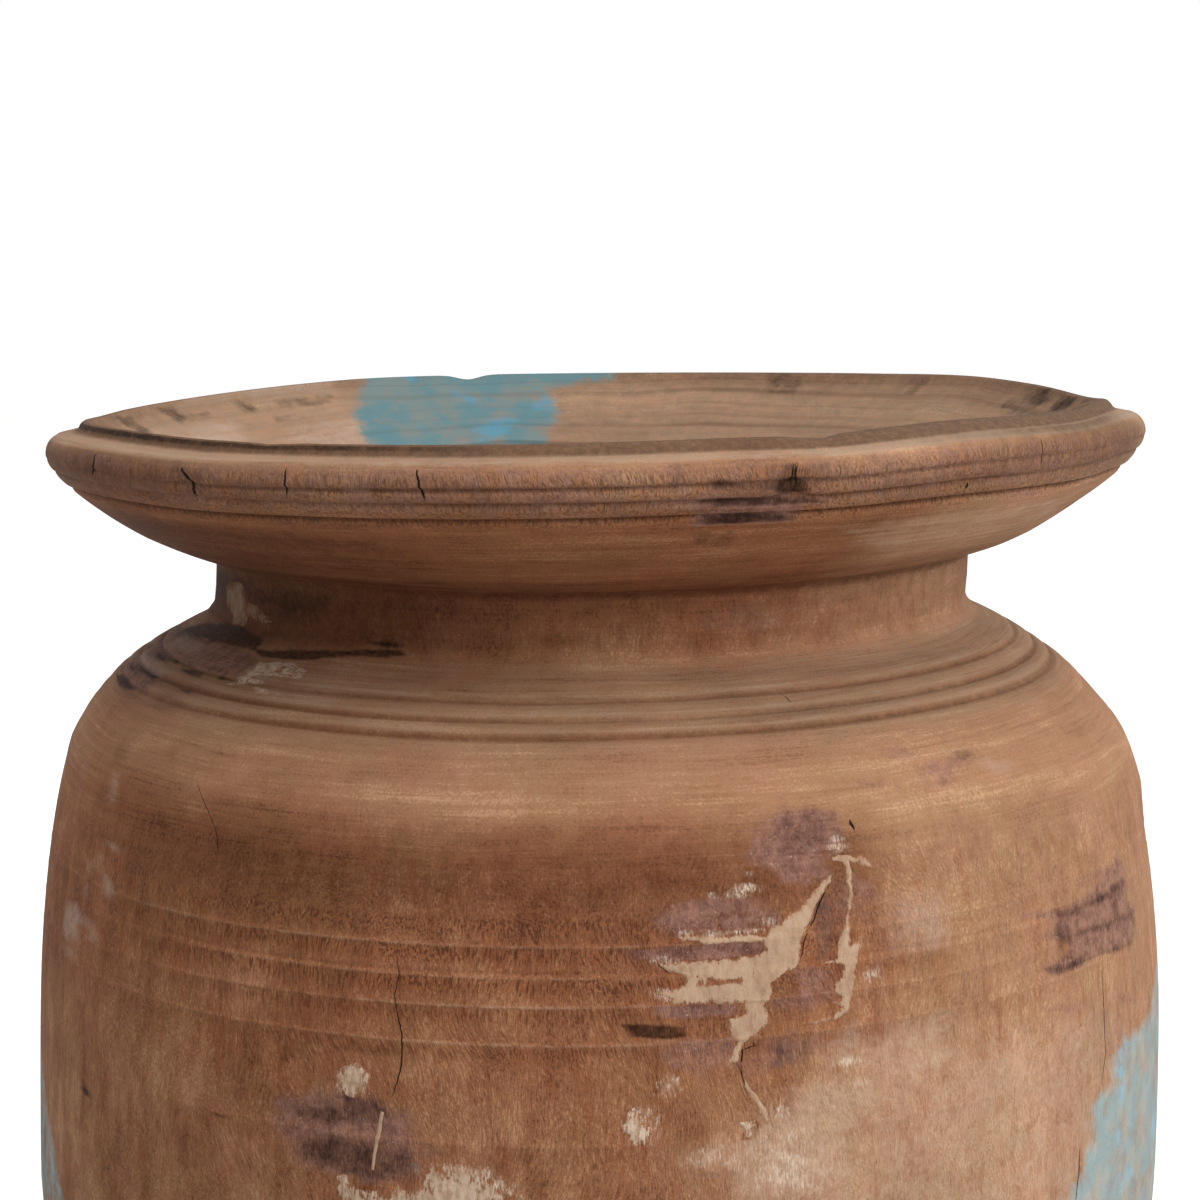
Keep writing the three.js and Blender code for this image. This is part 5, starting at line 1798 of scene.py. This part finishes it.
MENDS: tuple[PuttyMend, ...] = (
    PuttyMend("main_split_putty", (
        (21.8, 265.6), (20.6, 264.1), (19.4, 261.1), (18.2, 257.8), (17.1, 256.6), (16.3, 253.7),
        (15.2, 253.4), (14.8, 251.1), (13.4, 252.4), (11, 251.9), (7.8, 253.1), (7, 252.6), (7.4, 251.4),
        (10, 250.4), (12.4, 250.2), (14.5, 250.2), (14.7, 247.9), (14.2, 246.7), (11.6, 246.3),
        (8.6, 246.2), (5.1, 246.2), (5.6, 244.6), (7.3, 242.8), (7.4, 240.5), (6.4, 239.2), (5.3, 238.4),
        (6.2, 236.7), (6.1, 235.6), (9.4, 235.1), (12.6, 234.9), (12.7, 232.1), (11.1, 230.9),
        (11.4, 226.4), (11.8, 224.7), (11.3, 221.5), (10.7, 218.4), (12, 220.7), (12.5, 224.4),
        (13.4, 225.9), (14.4, 228.1), (14.7, 230.6), (14.4, 233.7), (15.2, 236.4), (15.1, 239.4),
        (16.4, 241.4), (17.7, 243.6), (18, 248.5), (18.6, 252.3), (19.4, 256.4), (20, 259), (21, 262.6)),
        scars=(((8.2, 241.2), (10.2, 241.3), (12.6, 241.3), (12.6, 240), (10.2, 239.8), (8.2, 239.7)),)),
    PuttyMend("side_split_putty", (
        (21.7, 269.8), (22.8, 270.2), (24.3, 269.1), (24.8, 270), (25.2, 268.7), (25.7, 265.8), (25, 265.9),
        (24.2, 267.5), (23.4, 268.5), (23.5, 263.8), (23.4, 259.7), (22.9, 253.9), (22.7, 246.9),
        (24.4, 249.6), (23.9, 246.4), (23.3, 242.7), (22.7, 235), (22.3, 230), (21.4, 228.1), (18.6, 227.4),
        (17.3, 227.6), (18.6, 228.4), (20.5, 229), (21.4, 230.9), (20.6, 232.6), (21.6, 233.6),
        (20.8, 235.7), (21.2, 238.1), (21.9, 240.7), (21.8, 242.2), (20, 243.1), (21.3, 243.7),
        (21.5, 247.4), (22.2, 251.2), (22.6, 255), (23, 260.8), (23, 266.7), (22.7, 268.2), (21.7, 268.8))),
    PuttyMend("left_patch_putty", (
        (-23.4, 215.9), (-23.5, 210.5), (-23.1, 209.1), (-22.5, 209.8), (-21.7, 208.9), (-21.2, 210.3),
        (-19.6, 210.2), (-20.2, 212.6), (-20.1, 215.2), (-20.8, 217.3), (-21.4, 218.9), (-22.2, 217.6)),
        feather=4.5, flecked=0.75),
    PuttyMend("centre_patch_putty", (
        (1.8, 206.9), (1.7, 203.4), (2.3, 201.8), (2.7, 199.8), (3.7, 199.1), (4, 200.6), (4.8, 203.6),
        (3.8, 204.7), (3.6, 207.2), (2.9, 209.2)), feather=5.0, flecked=0.9),
    PuttyMend("right_patch_putty", (
        (11.9, 203.7), (12.2, 201.1), (12, 199.1), (12.8, 198.9), (13.1, 201.3), (13.7, 203.2),
        (12.8, 203.9)), feather=2.6, flecked=0.7),
    PuttyMend("low_patch_putty", (
        (-23.3, 187.3), (-22.8, 180.5), (-20, 177), (-15, 176), (-10, 178), (-8, 184.8), (-8.6, 187.4),
        (-9, 190.5), (-10.6, 191.3), (-11.7, 193.1), (-12.9, 190.3), (-13.6, 193.8), (-14.9, 193),
        (-15.2, 187.3), (-16.5, 185.4), (-17.4, 186.7), (-18.8, 185.7), (-20.6, 184.4), (-22, 186),
        (-22.2, 188.2)), feather=7.0, flecked=0.7),
    PuttyMend("left_check_putty", (
        (-19.1, 206.3), (-19.4, 201.6), (-19.7, 196.4), (-19.95, 190.3), (-19.65, 190.1), (-19.4, 195.4),
        (-19.05, 200.6), (-18.8, 206)), feather=0.35, ragged=0.08),
    PuttyMend("right_check_putty", (
        (12.4, 215.2), (12.4, 213), (13.1, 209.4), (13.8, 206.2), (14.1, 203.8), (14.4, 203),
        (14.25, 206.6), (13.6, 209.8), (12.75, 213.1)), feather=0.35, ragged=0.08),
    PuttyMend("shoulder_patch_putty", (
        (-49.6, 306.8), (-47.3, 307.4), (-46.3, 309.5), (-45.7, 310.6), (-44.3, 310.8), (-40.3, 310.5),
        (-39.1, 311.4), (-41.8, 312.9), (-43.6, 312.6), (-46.7, 313.2), (-48, 312.7), (-48.9, 311.4),
        (-48, 309.7), (-47.8, 307.8), (-49.4, 307.5)), feather=1.0, flecked=0.9),
    # the neck mend is darkened for grime and painted shade under the rim
    PuttyMend("neck_patch_putty", (
        (-69.5, 328.9), (-68.6, 323.4), (-65.4, 321.6), (-64, 318.5), (-60.3, 319.1), (-59.1, 322.3),
        (-54.8, 321.3), (-52.1, 322.1), (-56, 325.5), (-59.7, 326.9), (-61.1, 330.1), (-63, 331.6),
        (-67, 331.2)), feather=9.0, flecked=0.3, grime=0.6),
)


@dataclass(frozen=True)
class Lamp:
    """One soft lamp: where it hangs, what it points at, its size in metres and its power."""

    name: str
    place: tuple[float, float, float]
    target: tuple[float, float, float]
    size: float
    power: float

    def build(self) -> None:
        """Hangs the lamp."""
        bpy.ops.object.select_all(action="DESELECT")
        bpy.ops.object.light_add(type="AREA", location=self.place)
        lamp = bpy.context.object
        lamp.name = self.name
        lamp.data.shape = "DISK"
        lamp.data.size = self.size
        lamp.data.energy = self.power
        way = np.array(self.target) - np.array(self.place)
        flat = math.hypot(way[0], way[1])
        lamp.rotation_euler = (math.atan2(flat, -way[2]), 0.0, math.atan2(-way[0], way[1]))


@dataclass
class Studio:
    """The plain pale room: floor, light and camera. Places are in metres."""

    eye: tuple[float, float, float] = (0.00145, -0.86913, 0.438585)
    pitch: float = 7.95
    roll: float = -0.883
    focal_pixels: float = 2784.0
    image_pixels: float = 1200.0
    sensor: float = 36.0
    floor_size: float = 14.0
    floor_tone: Colour = (0.62, 0.62, 0.62, 1.0)
    floor_roughness: float = 0.9
    floor_glow: float = 0.66
    room_light: float = 0.45
    room_glow: float = 0.55
    lamps: tuple[Lamp, ...] = (
        Lamp("key", (1.75, -1.35, 1.35), (0.0, 0.0, 0.28), 1.3, 45.0),
        Lamp("top", (-0.1, -0.5, 2.3), (0.0, 0.0, 0.3), 1.6, 26.8),
    )

    def build(self) -> None:
        """Sets up floor, world, lamps and camera."""
        bpy.context.scene.view_settings.view_transform = "Standard"
        self._floor()
        self._world()
        for lamp in self.lamps:
            lamp.build()
        self._camera()

    def _floor(self) -> None:
        """Lays a wide pale floor that shows white to the camera and keeps the pot's shadow."""
        bpy.ops.object.select_all(action="DESELECT")
        bpy.ops.mesh.primitive_plane_add(size=self.floor_size)
        floor = bpy.context.object
        floor.name = "floor"
        material, graph, shader = Graph.material("pale_floor")
        graph.feed(shader, {"Base Color": self.floor_tone, "Roughness": self.floor_roughness})
        glow = graph.node("Emission", {"Strength": graph.times(graph.seen(), self.floor_glow)})
        both = graph.node("AddShader", {0: shader.outputs[0], 1: glow.outputs[0]})
        graph.feed(material.node_tree.nodes["Material Output"], {"Surface": both.outputs[0]})
        floor.data.materials.append(material)

    def _world(self) -> None:
        """Lights the room evenly from all round, and makes it white where the camera sees past the floor."""
        world = bpy.data.worlds.new("pale_room")
        bpy.context.scene.world = world
        world.use_nodes = True
        graph = Graph(world.node_tree)
        strength = graph.total(((graph.seen(), self.room_glow),), self.room_light)
        white = (1.0, 1.0, 1.0, 1.0)
        graph.feed(world.node_tree.nodes["Background"], {"Color": white, "Strength": strength})

    def _camera(self) -> None:
        """Puts the camera where the photograph was taken."""
        bpy.ops.object.select_all(action="DESELECT")
        bpy.ops.object.camera_add(location=self.eye)
        camera = bpy.context.object
        camera.data.sensor_width = self.sensor
        camera.data.lens = self.sensor * self.focal_pixels / self.image_pixels
        camera.data.clip_start = 0.01
        camera.rotation_mode = "XYZ"
        camera.rotation_euler = (math.radians(90.0 - self.pitch), 0.0, 0.0)
        camera.rotation_euler.rotate_axis("Z", math.radians(self.roll))
        bpy.context.scene.camera = camera


def main() -> None:
    """Builds the pot, its mends and the room, and notes how large the dressed pot is."""
    logging.basicConfig(level=logging.INFO, format="%(name)s: %(message)s")
    effects = Effects()
    wood = WornWood().build(effects)
    putty = SandyPutty().build(effects)
    wall = PotWall()
    pieces = [TurnedPot(wall, PotAge(wall, BLOTS, CHECKS)).build(wood)]
    pieces += [mend.build(wall, putty) for mend in MENDS]
    for piece in pieces:
        piece.data.calc_loop_triangles()
        LOG.info("%s: %d triangles", piece.name, len(piece.data.loop_triangles))
    Studio().build()


if __name__ == "__main__":
    main()
